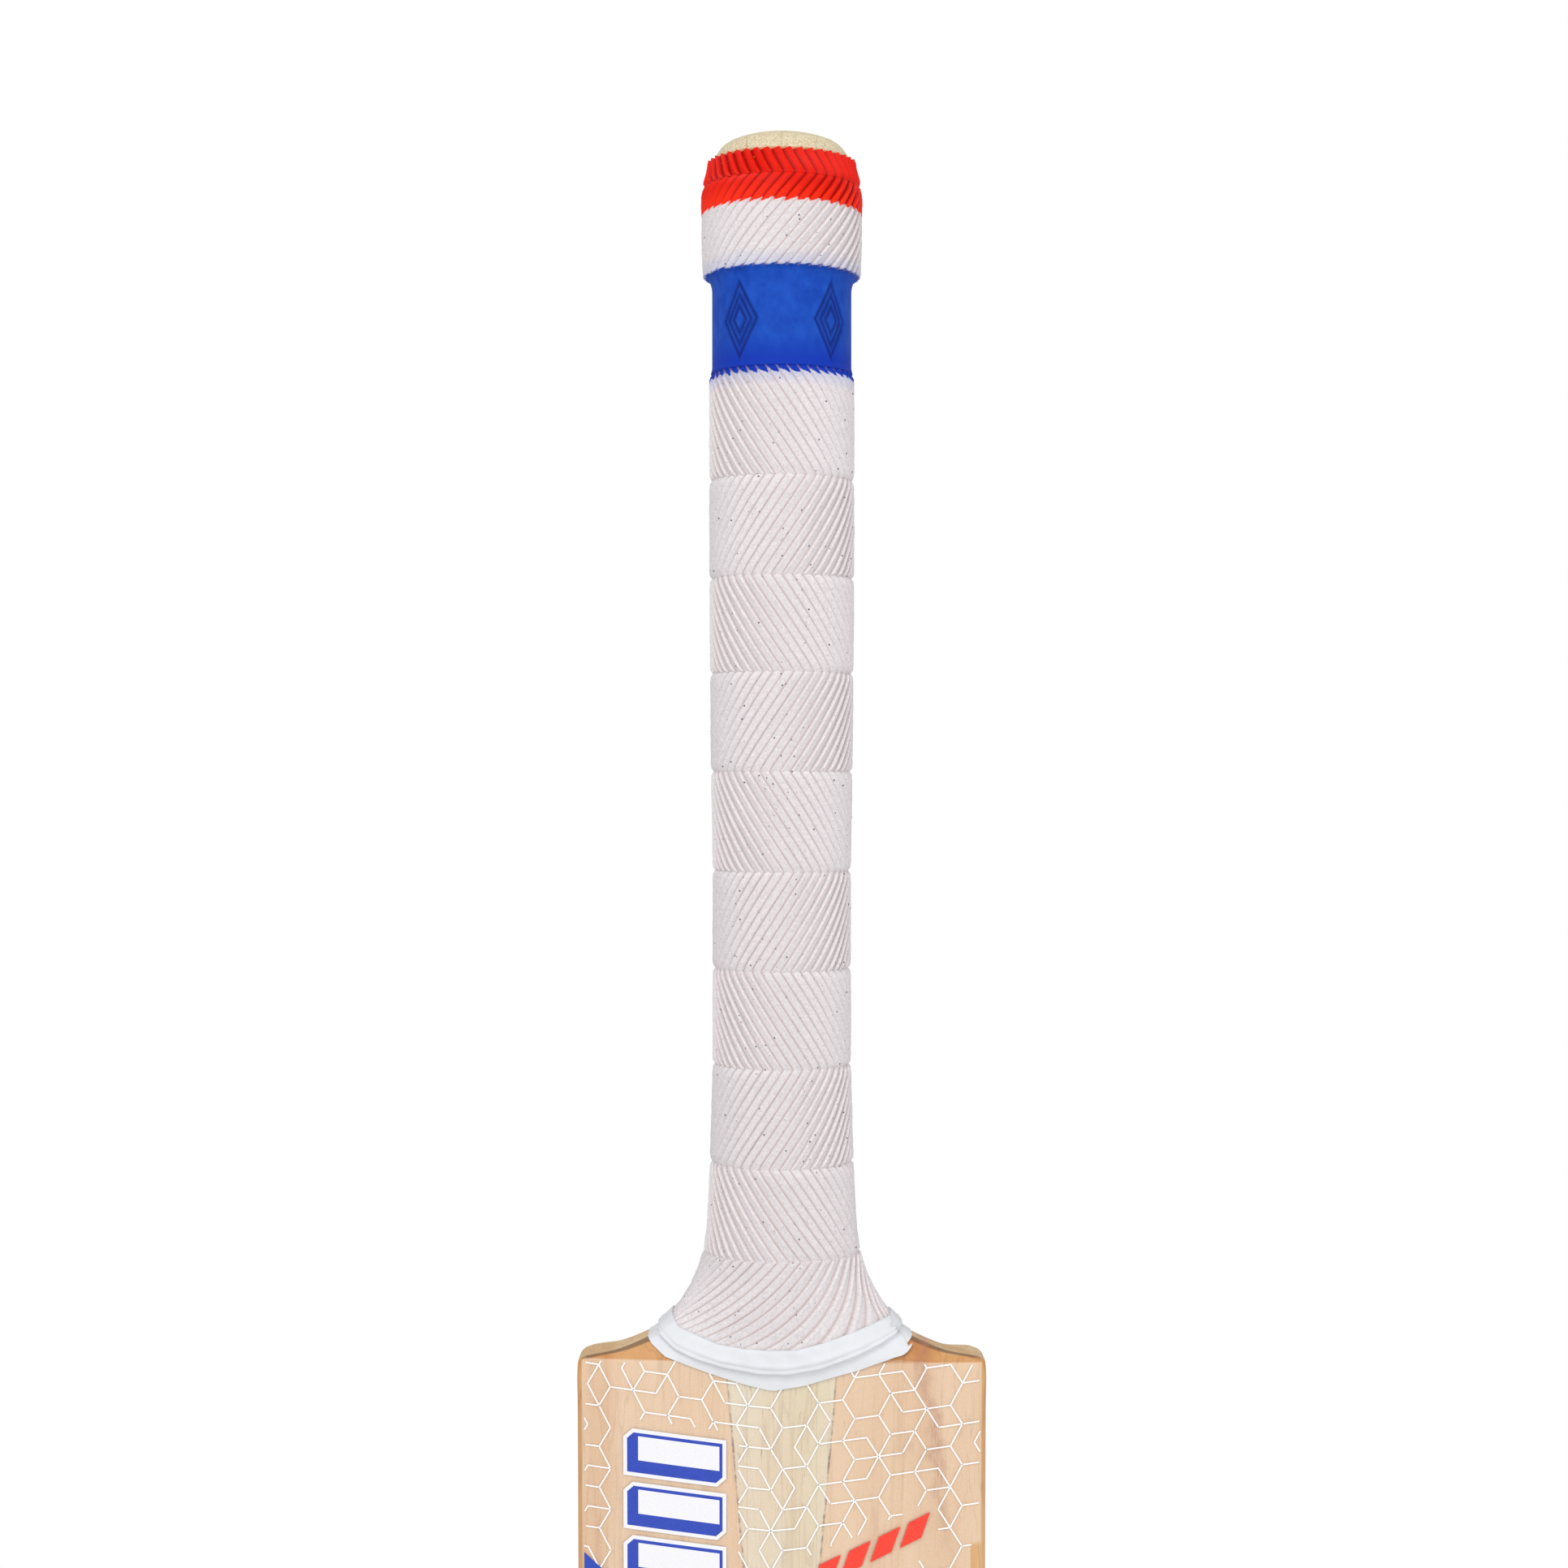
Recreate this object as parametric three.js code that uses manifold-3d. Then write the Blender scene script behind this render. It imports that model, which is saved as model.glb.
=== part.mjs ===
// A long-handle cricket bat: a willow blade with a spliced cane handle, built up from slips and rubber springs,
// bound with twine, sleeved in a ribbed rubber grip and taped at the shoulder, with a clear face sheet,
// two stickers and a rubber toe guard.
// Millimetres. +Z up the handle, the hitting face looks along -Y, +X to the right of the face.
// The origin is the middle of the toe guard's underside.
import * as THREE from "three";
import { mergeVertices } from "three/addons/utils/BufferGeometryUtils.js";
import Module from "manifold-3d";

const wasm = await Module();
wasm.setup();

// ---- driving dimensions -------------------------------------------------------------------------------
const BLADE_LENGTH = 560; // toe to shoulder corner
const OVERALL_LENGTH = 885;
const BLADE_HALF_WIDTH = 54; // at the toe end, the most the Laws of Cricket allow
const SHOULDER_HALF_WIDTH = 53.7;
const HANDLE_RADIUS = 15.9; // bare cane, under the twine; the handle is a little slimmer from side to side
const KNOB_RADIUS = 18.2; // the thicker top of the handle
const KNOB_START = OVERALL_LENGTH - 44;
const SHOULDER_FACE_Y = -16.5; // the face is flush with the front of the handle
const BOW = 6; // how far the face hollows between shoulder and toe
const BLADE_LEAN = 14; // how far the toe sits behind the handle's line
const FACE_CROWN = 2.6; // how far the face falls away to its edges
const SPLICE_TIP = 399; // height of the V's point
const SPLICE_SLOPE = 0.086; // half-width gained per millimetre of height
const SLIP_WIDTH = 9.1;
const MIDDLE_LAYER_HALF_DEPTH = 4.85;
const SPRING_THICKNESS = 2;
const TWINE_THICKNESS = 0.9;
const GRIP_THICKNESS = 2.1;
const TAPE_THICKNESS = 0.6;
const SHEET_THICKNESS = 0.35;
const STICKER_THICKNESS = 0.25;
const TOE_GUARD_THICKNESS = 2.5;
const GLUE_GAP = 0.2; // glue line between two bonded pieces

const TOE_CENTRE_Y = SHOULDER_FACE_Y + BLADE_LEAN + 11; // middle of the toe, from the handle's line

// ---- small helpers ------------------------------------------------------------------------------------
const lerp = THREE.MathUtils.lerp;
const smooth = THREE.MathUtils.smoothstep;

// Reads a curve given as [place, value] pairs, easing between them.
function along(pairs, at) {
  if (at <= pairs[0][0]) return pairs[0][1];
  for (let i = 1; i < pairs.length; i++) {
    const [x0, v0] = pairs[i - 1];
    const [x1, v1] = pairs[i];
    if (at <= x1) return lerp(v0, v1, (at - x0) / (x1 - x0));
  }
  return pairs[pairs.length - 1][1];
}

// A Catmull-Rom curve through [place, value] pairs, for the long smooth lines of the blade.
function faired(pairs, at) {
  const n = pairs.length - 1;
  if (at <= pairs[0][0]) return pairs[0][1];
  if (at >= pairs[n][0]) return pairs[n][1];
  const i = pairs.findIndex(([x]) => at <= x);
  const [x0, v0] = pairs[i - 1];
  const [x1, v1] = pairs[i];
  const slope = (k) => {
    const a = pairs[Math.max(k - 1, 0)];
    const b = pairs[Math.min(k + 1, n)];
    return (b[1] - a[1]) / (b[0] - a[0]);
  };
  const h = x1 - x0;
  const t = (at - x0) / h;
  const m0 = slope(i - 1) * h;
  const m1 = slope(i) * h;
  const t2 = t * t;
  const t3 = t2 * t;
  return (2 * t3 - 3 * t2 + 1) * v0 + (t3 - 2 * t2 + t) * m0 + (3 * t2 - 2 * t3) * v1 + (t3 - t2) * m1;
}

// ---- the shaped bat: one outline at every height -------------------------------------------------------
// Half-width of the wood. The shoulders sweep in from the blade to the handle.
const SHOULDER_SWEEP = [
  [BLADE_LENGTH - 6, SHOULDER_HALF_WIDTH],
  [BLADE_LENGTH - 1.6, SHOULDER_HALF_WIDTH - 0.2],
  [BLADE_LENGTH - 0.6, SHOULDER_HALF_WIDTH - 0.9],
  [BLADE_LENGTH, SHOULDER_HALF_WIDTH - 2.5],
  [BLADE_LENGTH + 0.6, 48],
  [BLADE_LENGTH + 1.2, 45],
  [BLADE_LENGTH + 2.1, 42],
  [BLADE_LENGTH + 3.6, 38.2],
  [BLADE_LENGTH + 5.6, 34],
  [BLADE_LENGTH + 10, 27.8],
  [BLADE_LENGTH + 16, 23],
  [BLADE_LENGTH + 24, 19.6],
  [BLADE_LENGTH + 36, 17.1],
  [BLADE_LENGTH + 60, 15.5],
  [BLADE_LENGTH + 110, 15],
  [BLADE_LENGTH + 170, 15.5],
  [BLADE_LENGTH + 230, HANDLE_RADIUS],
  [KNOB_START, HANDLE_RADIUS],
  [KNOB_START + 5, KNOB_RADIUS - 0.3],
  [KNOB_START + 9, KNOB_RADIUS],
  [OVERALL_LENGTH - 9, KNOB_RADIUS],
  [OVERALL_LENGTH - 6, KNOB_RADIUS - 0.9],
  [OVERALL_LENGTH - 3.4, KNOB_RADIUS - 3],
  [OVERALL_LENGTH - 1.4, KNOB_RADIUS - 6.6],
  [OVERALL_LENGTH - 0.3, KNOB_RADIUS - 10.4],
  [OVERALL_LENGTH, KNOB_RADIUS - 14],
];
const TOE_ROUNDING = 20; // height over which the toe's corners round off
const TOE_FLAT_HALF_WIDTH = 34;

function halfWidth(z) {
  if (z >= BLADE_LENGTH - 6) return along(SHOULDER_SWEEP, z);
  const taper = lerp(BLADE_HALF_WIDTH, SHOULDER_HALF_WIDTH, smooth(z, 300, BLADE_LENGTH - 6));
  if (z >= TOE_ROUNDING) return taper;
  const drop = 1 - z / TOE_ROUNDING;
  return TOE_FLAT_HALF_WIDTH + (taper - TOE_FLAT_HALF_WIDTH) * Math.sqrt(1 - drop * drop);
}

// The face in side view: a shallow bow that leans back from the handle's line.
function faceY(z) {
  const t = Math.min(z, BLADE_LENGTH) / BLADE_LENGTH;
  return SHOULDER_FACE_Y + BLADE_LEAN * (1 - t) + BOW * 4 * t * (1 - t);
}

const EDGE_DEPTH = [[0, 17], [40, 23], [110, 34], [190, 38], [270, 37], [370, 31], [470, 25], [560, 21]];
const SPINE_DEPTH = [[0, 22], [40, 33], [110, 51], [190, 61], [270, 60], [350, 51], [420, 41], [480, 36], [560, 33.5]];

// How far the section has turned from the blade's box into the handle's round.
const toRound = (z) => smooth(z, BLADE_LENGTH - 7, BLADE_LENGTH + 26);

const FACE_STEPS = [0, 0.34, 0.68];
const BACK_STEPS = [0.72, 0.42, 0.16, 0];
const FACE_CORNER = 2.6;
const BACK_CORNER = 7;

// Half of the blade's section at height z, from the middle of the face round to the middle of the spine.
function bladeHalf(z, w) {
  const front = faceY(z);
  const edge = faired(EDGE_DEPTH, z);
  const spine = faired(SPINE_DEPTH, z);
  const faceAt = (x) => front + FACE_CROWN * (x / w) ** 2;
  const backAt = (x) => {
    const t = 1 - x / w;
    const ridge = 0.5 * t + 0.25 * (1 - Math.cos(Math.PI * t));
    return front + edge + (spine - edge) * ridge;
  };
  const sharp = lerp(1, 0.25, smooth(z, BLADE_LENGTH - 14, BLADE_LENGTH - 2));
  const faceCorner = FACE_CORNER * sharp;
  const cut = 1 - Math.SQRT1_2;
  const points = FACE_STEPS.map((s) => [s * w, faceAt(s * w)]);
  points.push([w - faceCorner, faceAt(w - faceCorner)]);
  points.push([w - cut * faceCorner, faceAt(w) + cut * faceCorner]);
  points.push([w, faceAt(w) + faceCorner]);
  points.push([w, backAt(w) - BACK_CORNER]);
  points.push([w - cut * BACK_CORNER, backAt(w) - cut * BACK_CORNER * 0.8]);
  points.push([w - BACK_CORNER, backAt(w - BACK_CORNER) + 0.2]);
  BACK_STEPS.forEach((s) => points.push([s * w, backAt(s * w)]));
  return points;
}

// The same number of points round half of the handle's circle.
const ROUND_ANGLES = [0, 20, 40, 56, 68, 80, 98, 108, 118, 133, 149, 165, 180].map(THREE.MathUtils.degToRad);
const roundHalf = (w, r) => ROUND_ANGLES.map((a) => [w * Math.sin(a), -r * Math.cos(a)]);

// Depth of the handle front and back: it is round above the shoulder and stays flush with the face at it.
function handleDepth(z) {
  if (z > KNOB_START) return halfWidth(z);
  return lerp(-SHOULDER_FACE_Y, HANDLE_RADIUS, smooth(z, BLADE_LENGTH, BLADE_LENGTH + 60));
}

// Closed section at height z, grown outwards by grow.
function section(z, grow = 0) {
  const w = halfWidth(z);
  const k = toRound(z);
  const blade = bladeHalf(z, w);
  const round = roundHalf(w, handleDepth(z));
  const half = blade.map(([x, y], i) => [lerp(x, round[i][0], k), lerp(y, round[i][1], k)]);
  const whole = [...half, ...half.slice(1, -1).reverse().map(([x, y]) => [-x, y])];
  if (!grow) return whole;
  const middleY = (half[0][1] + half[half.length - 1][1]) / 2;
  const depth = (half[half.length - 1][1] - half[0][1]) / 2;
  return whole.map(([x, y]) => [x * (1 + grow / w), middleY + (y - middleY) * (1 + grow / depth)]);
}

// A closed solid through rings of points at rising heights.
function loft(heights, ringAt) {
  const rings = heights.map((z) => ringAt(z).map(([x, y]) => [x, y, z]));
  const n = rings[0].length;
  const positions = rings.flat(2);
  const index = [];
  for (let r = 0; r + 1 < rings.length; r++) {
    for (let i = 0; i < n; i++) {
      const a = r * n + i;
      const b = r * n + ((i + 1) % n);
      index.push(a, b, b + n, a, b + n, a + n);
    }
  }
  const cap = (ring) => THREE.ShapeUtils.triangulateShape(ring.map(([x, y]) => new THREE.Vector2(x, y)), []);
  const top = (rings.length - 1) * n;
  cap(rings[0]).forEach(([a, b, c]) => index.push(a, c, b));
  cap(rings[rings.length - 1]).forEach(([a, b, c]) => index.push(top + a, top + b, top + c));
  return new THREE.BufferGeometry()
    .setAttribute("position", new THREE.Float32BufferAttribute(positions, 3))
    .setIndex(index);
}

// A prism whose outline is drawn in the front view (x, z), reaching from y = -DEEP to y = DEEP.
const DEEP = 90;
function frontPrism(outline) {
  const shape = new THREE.Shape(outline.map(([x, z]) => new THREE.Vector2(x, z)));
  const geometry = new THREE.ExtrudeGeometry(shape, { depth: 2 * DEEP, bevelEnabled: false });
  return geometry.rotateX(Math.PI / 2).translate(0, DEEP, 0);
}

function block(x0, x1, y0, y1, z0, z1) {
  return new THREE.BoxGeometry(x1 - x0, y1 - y0, z1 - z0).translate((x0 + x1) / 2, (y0 + y1) / 2, (z0 + z1) / 2);
}

function solid(geometry) {
  const bare = geometry.clone();
  Object.keys(bare.attributes).forEach((name) => name !== "position" && bare.deleteAttribute(name));
  const merged = mergeVertices(bare, 1e-4);
  const made = new wasm.Manifold(
    new wasm.Mesh({
      numProp: 3,
      vertProperties: merged.attributes.position.array,
      triVerts: new Uint32Array(merged.index.array),
    }),
  );
  if (made.volume() < 0) throw new Error("a solid is inside out");
  return made;
}

function geometryOf(made) {
  const mesh = made.getMesh();
  const positions = [];
  for (let i = 0; i < mesh.numVert; i++) {
    positions.push(...mesh.vertProperties.subarray(i * mesh.numProp, i * mesh.numProp + 3));
  }
  const geometry = new THREE.BufferGeometry()
    .setAttribute("position", new THREE.Float32BufferAttribute(positions, 3))
    .setIndex(Array.from(mesh.triVerts));
  geometry.computeVertexNormals();
  return geometry;
}

// ---- heights at which the wood's outline is drawn ------------------------------------------------------
const TOE_HEIGHTS = [0, 1.2, 4, 9, 14, TOE_ROUNDING];
const BLADE_HEIGHTS = [50, 90, 130, 175, 220, 265, 310, 355, 400, 440, 480, 515, 540, 548];
const SWEEP_HEIGHTS = SHOULDER_SWEEP.map(([z]) => z);
const WOOD_HEIGHTS = [...TOE_HEIGHTS, ...BLADE_HEIGHTS, ...SWEEP_HEIGHTS];
const wood = solid(loft(WOOD_HEIGHTS, (z) => section(z)));

// ---- the splice ----------------------------------------------------------------------------------------
// The V that the handle fills, open upwards, with its walls moved out by gap.
function spliceWedge(gap) {
  const top = OVERALL_LENGTH + 5;
  const reach = SPLICE_SLOPE * (top - SPLICE_TIP) + gap;
  return solid(frontPrism([[-reach, top], [-0.9 - gap, SPLICE_TIP - gap], [0.9 + gap, SPLICE_TIP - gap], [reach, top]]));
}
const handleWood = wood.intersect(spliceWedge(0));

// ---- toe guard and blade -------------------------------------------------------------------------------
// Height of the blade's own underside at x: it follows the rounded toe one guard's thickness inside.
function toeLine(gap) {
  const rise = TOE_GUARD_THICKNESS + gap;
  const inner = BLADE_HALF_WIDTH - TOE_FLAT_HALF_WIDTH;
  const arc = [];
  for (let i = 0; i <= 6; i++) {
    const a = (i / 6) * (Math.PI / 2) * 0.86;
    const x = TOE_FLAT_HALF_WIDTH - 1 + inner * 0.98 * Math.sin(a);
    const z = rise + (TOE_ROUNDING - 1) * (1 - Math.cos(a));
    arc.push([x, z]);
  }
  return arc;
}
function belowToe(gap) {
  const right = toeLine(gap);
  const far = BLADE_HALF_WIDTH + 6;
  const end = right[right.length - 1];
  const line = [...right.slice().reverse().map(([x, z]) => [-x, z]), ...right];
  return solid(frontPrism([[-far, -5], [far, -5], [far, end[1]], ...line.reverse(), [-far, end[1]]]));
}
const toeGuard = wood.intersect(belowToe(0));
const blade = wood.subtract(spliceWedge(GLUE_GAP)).subtract(belowToe(GLUE_GAP));

// ---- cane slips and rubber springs ---------------------------------------------------------------------
const HALF_GAP = GLUE_GAP / 2;
const OUTER = 80;
const SPRING_OUT = MIDDLE_LAYER_HALF_DEPTH + SPRING_THICKNESS;
const LAYERS = {
  front: [-OUTER, -SPRING_OUT - HALF_GAP],
  middle: [-MIDDLE_LAYER_HALF_DEPTH + HALF_GAP, MIDDLE_LAYER_HALF_DEPTH - HALF_GAP],
  back: [SPRING_OUT + HALF_GAP, OUTER],
};
const COLUMNS = [
  [-OUTER, -SLIP_WIDTH - HALF_GAP],
  [-SLIP_WIDTH + HALF_GAP, -HALF_GAP],
  [HALF_GAP, SLIP_WIDTH - HALF_GAP],
  [SLIP_WIDTH + HALF_GAP, OUTER],
];
function sliceOfHandle(x, y) {
  return handleWood.intersect(solid(block(x[0], x[1], y[0], y[1], SPLICE_TIP - 10, OVERALL_LENGTH + 10)));
}

// ---- twine binding, grip and tape ----------------------------------------------------------------------
const FLARE_HEIGHTS = SWEEP_HEIGHTS.filter((z) => z > BLADE_LENGTH - 3 && z < KNOB_START + 20);
const GRIP_TOP = OVERALL_LENGTH - 9.5;
const BINDING_TOP = GRIP_TOP - 1.5;
const SMOOTH_BAND = [819, 845]; // the smooth, thinner band below the grip's thick top
const TWINE_INNER = 0.15;
const TWINE_OUTER = TWINE_INNER + TWINE_THICKNESS;
const GRIP_INNER = TWINE_OUTER + 0.15;

// The grip's outside, above the twine. It is a little thinner over the smooth band and thicker at the very top.
const GRIP_PROFILE = [
  [BLADE_LENGTH - 8, GRIP_THICKNESS],
  [SMOOTH_BAND[0] - 0.5, GRIP_THICKNESS],
  [SMOOTH_BAND[0] + 0.5, GRIP_THICKNESS - 0.5],
  [KNOB_START, GRIP_THICKNESS - 0.5],
  [SMOOTH_BAND[1] - 0.8, GRIP_THICKNESS - 1.0],
  [SMOOTH_BAND[1] + 0.6, GRIP_THICKNESS],
  [GRIP_TOP - 12, GRIP_THICKNESS],
  [GRIP_TOP, GRIP_THICKNESS - 0.5],
];
const gripOuter = (z) => GRIP_INNER + along(GRIP_PROFILE, z);

// Under the twine and grip the wood's flare is followed without its sharp shoulder corner.
const SLEEVE_HEIGHTS = [
  ...FLARE_HEIGHTS,
  SMOOTH_BAND[0] - 0.5,
  SMOOTH_BAND[0] + 0.5,
  SMOOTH_BAND[1] - 0.8,
  SMOOTH_BAND[1] + 0.6,
  GRIP_TOP - 12,
].sort((a, b) => a - b);

// The dome at the very top closes in, so a sleeve keeps the knob's own section up to its end.
const sleeveSection = (z, grow) => section(Math.min(z, OVERALL_LENGTH - 9), grow);

function sleeve(inner, outer, top, lowEdge) {
  const heights = [...SLEEVE_HEIGHTS.filter((z) => z < top - 1), top];
  const skin = solid(loft(heights, (z) => sleeveSection(z, outer(z))));
  const hollowHeights = [heights[0] - 1, ...heights.slice(1, -1), top + 1];
  const hollow = solid(loft(hollowHeights, (z) => sleeveSection(z, inner)));
  return skin.subtract(hollow).subtract(lowEdge);
}

// Everything below a sagging line: lowest at the middle of the face, rising to the sides of the flare.
function sagLine(middle, side, halfSpan, steps = 8) {
  const line = [];
  for (let i = -steps; i <= steps; i++) {
    const x = (i / steps) * halfSpan;
    const t = Math.abs(i / steps);
    line.push([x, lerp(middle, side, t ** 1.35)]);
  }
  return line;
}
function below(line) {
  const reach = BLADE_HALF_WIDTH + 20;
  const end = line[line.length - 1][1];
  const floor = BLADE_LENGTH - 60;
  return solid(frontPrism([[-reach, floor], [reach, floor], [reach, end], ...line.slice().reverse(), [-reach, end]]));
}

const TAPE_LOW = sagLine(551.5, 563.6, 37.5);
const CREASE = sagLine(556.3, 566.6, 35);
const TWINE_LOW = sagLine(561, 571, 32);
const TAPE_HIGH = sagLine(563.4, 571.8, 33);

const binding = sleeve(TWINE_INNER, () => TWINE_OUTER, BINDING_TOP, below(TWINE_LOW));
const grip = sleeve(GRIP_INNER, gripOuter, GRIP_TOP, below(CREASE)).subtract(blade);

// The tape lies on the grip's end above the crease and slopes down from there to the wood.
const TAPE_CLEAR = 0.25;
const TAPE_RAISE = TAPE_CLEAR + TAPE_THICKNESS;
const TAPE_ROOT = -1.5; // its inside starts within the wood and is then cut back
const TAPE_HEIGHTS = [545, 549, ...SWEEP_HEIGHTS.filter((z) => z > BLADE_LENGTH - 7 && z < BLADE_LENGTH + 30)];

// Where a sagging line crosses the bat's side, for one point of the outline grown by growAt.
function crossing(line, i, growAt) {
  let low = BLADE_LENGTH - 12;
  let high = BLADE_LENGTH + 20;
  for (let step = 0; step < 30; step++) {
    const z = (low + high) / 2;
    const x = Math.abs(section(z, growAt(z))[i][0]);
    if (z < along(line, x)) low = z;
    else high = z;
  }
  return [...section(low, growAt(low))[i], low];
}

const rightHalf = (line) => line.filter(([x]) => x >= 0);
function tapeRing(i) {
  const onGrip = (z) => gripOuter(z) + TAPE_RAISE;
  const [high, crease, low] = [TAPE_HIGH, CREASE, TAPE_LOW].map(rightHalf);
  return [
    crossing(high, i, () => TAPE_ROOT),
    crossing(high, i, onGrip),
    crossing(crease, i, onGrip),
    crossing(low, i, () => TAPE_RAISE),
    crossing(low, i, () => TAPE_ROOT),
  ];
}

// A closed band: rings[i] is the band's own little outline at the i-th place round the bat.
function band(rings) {
  const n = rings[0].length;
  const index = [];
  rings.forEach((ring, r) => {
    const next = (r + 1) % rings.length;
    for (let k = 0; k < n; k++) {
      const a = r * n + k;
      const b = r * n + ((k + 1) % n);
      const c = next * n + ((k + 1) % n);
      const d = next * n + k;
      index.push(a, b, c, a, c, d);
    }
  });
  return new THREE.BufferGeometry()
    .setAttribute("position", new THREE.Float32BufferAttribute(rings.flat(2), 3))
    .setIndex(index);
}

const largestBody = (made) => made.decompose().reduce((a, b) => (a.volume() > b.volume() ? a : b));
const tapeStock = solid(band(section(BLADE_LENGTH).map((_, i) => tapeRing(i))));
const overWood = solid(loft(TAPE_HEIGHTS, (z) => section(z, TAPE_CLEAR)));
const gripClear = solid(loft(TAPE_HEIGHTS, (z) => section(z, gripOuter(z) + TAPE_CLEAR)));
const overGrip = gripClear.subtract(below(CREASE.map(([x, z]) => [x, z - TAPE_CLEAR])));
const tape = largestBody(tapeStock.subtract(overWood).subtract(overGrip));

// ---- face sheet and stickers ---------------------------------------------------------------------------
const SHEET_BOTTOM = 9;
const SHEET_TOP = { left: 559.2, right: 558.3, bevel: 1.2 };
const SHEET_HALF_WIDTH = 52.3;
const SHEET_NOTCH = { top: 511, bottom: 430, depth: 2.6 }; // cut-out in the sheet's right edge
const SHEET_GAP = 0.15;
const RAISE_SHEET = SHEET_GAP + SHEET_THICKNESS;
const RAISE_STICKER = RAISE_SHEET + 0.1;

// A film on the face: the wood moved forward by two amounts, the difference cut to an outline.
function film(outline, low, high) {
  return wood.translate(0, -high, 0).intersect(solid(frontPrism(outline))).subtract(wood.translate(0, -low, 0));
}
const NOTCH_X = SHEET_HALF_WIDTH - SHEET_NOTCH.depth;
const sheetOutline = [
  [-SHEET_HALF_WIDTH + 6, SHEET_BOTTOM],
  [SHEET_HALF_WIDTH - 6, SHEET_BOTTOM],
  [SHEET_HALF_WIDTH, SHEET_BOTTOM + 14],
  [SHEET_HALF_WIDTH, SHEET_NOTCH.bottom],
  [NOTCH_X + 0.6, SHEET_NOTCH.bottom + 0.6],
  [NOTCH_X, SHEET_NOTCH.bottom + 2.6],
  [NOTCH_X, SHEET_NOTCH.top - 2.6],
  [NOTCH_X + 0.6, SHEET_NOTCH.top - 0.6],
  [SHEET_HALF_WIDTH, SHEET_NOTCH.top],
  [SHEET_HALF_WIDTH, SHEET_TOP.right - SHEET_TOP.bevel],
  [SHEET_HALF_WIDTH - SHEET_TOP.bevel, SHEET_TOP.right],
  [-SHEET_HALF_WIDTH + SHEET_TOP.bevel, SHEET_TOP.left],
  [-SHEET_HALF_WIDTH, SHEET_TOP.left - SHEET_TOP.bevel],
  [-SHEET_HALF_WIDTH, SHEET_BOTTOM + 14],
];
const underTape = solid(
  frontPrism([[-40, 580], ...TAPE_LOW.map(([x, z]) => [x * 1.01, z - 0.4]), [40, 580]].reverse()),
);
const faceSheet = largestBody(film(sheetOutline, SHEET_GAP, RAISE_SHEET).subtract(underTape));

// The left sticker is one long die-cut strip down the face, with stepped corners.
const PANEL = { left: -41.5, right: -14.5, top: 541, bottom: 180, bevel: 3 };
const panelOutline = [
  [PANEL.left, PANEL.bottom + PANEL.bevel],
  [PANEL.left + PANEL.bevel, PANEL.bottom],
  [PANEL.right, PANEL.bottom],
  [PANEL.right, PANEL.top - PANEL.bevel],
  [PANEL.left + PANEL.bevel, PANEL.top],
  [PANEL.left, PANEL.top - PANEL.bevel],
];
const panelSticker = film(panelOutline, RAISE_STICKER, RAISE_STICKER + STICKER_THICKNESS);

// The right sticker is a slanting flash that climbs towards the right edge.
const flashOutline = [[6, 497.5], [36, 511.5], [38.5, 518.7], [8.5, 504.7]];
const flashSticker = film(flashOutline, RAISE_STICKER, RAISE_STICKER + STICKER_THICKNESS);

// ---- assembly ------------------------------------------------------------------------------------------
function material(colour, roughness) {
  return new THREE.MeshStandardMaterial({ color: colour, roughness, metalness: 0 });
}
const willow = material(0xddb98a, 0.55);
const cane = material(0xdcc895, 0.6);
const blackRubber = material(0x2a2724, 0.85);
const gripRubber = material(0xe6dfdf, 0.8);
const twine = material(0xb59a6c, 0.9);
const whiteTape = material(0xeef0f2, 0.5);
const clearFilm = material(0xe9cda8, 0.3);
const panelVinyl = material(0x2b50c8, 0.4);
const flashVinyl = material(0xf4452f, 0.4);

const bat = new THREE.Group();
function add(name, made, finish) {
  const mesh = new THREE.Mesh(geometryOf(made), finish);
  mesh.name = name;
  bat.add(mesh);
}

add("blade", blade, willow);
add("toe_guard", toeGuard, blackRubber);
for (const [layer, depth] of Object.entries(LAYERS)) {
  COLUMNS.forEach((column, i) => add(`cane_slip_${layer}_${i + 1}`, sliceOfHandle(column, depth), cane));
}
for (const [layer, side] of [["front", -1], ["back", 1]]) {
  const near = side * MIDDLE_LAYER_HALF_DEPTH;
  const far = side * SPRING_OUT;
  const depth = [Math.min(near, far), Math.max(near, far)];
  add(`rubber_spring_${layer}`, sliceOfHandle([-OUTER, OUTER], depth), blackRubber);
}
add("twine_binding", binding, twine);
add("grip", grip, gripRubber);
add("shoulder_tape", tape, whiteTape);
add("face_sheet", faceSheet, clearFilm);
add("panel_sticker", panelSticker, panelVinyl);
add("flash_sticker", flashSticker, flashVinyl);

// From the handle's line to the middle of the toe.
bat.position.y = -TOE_CENTRE_Y;

export default bat;
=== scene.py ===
"""Looks for the cricket bat: willow and cane, ribbed rubber grip, shoulder tape, printed face sheet."""
import math

import bmesh
import bpy
import numpy as np
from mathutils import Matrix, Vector, noise


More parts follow.
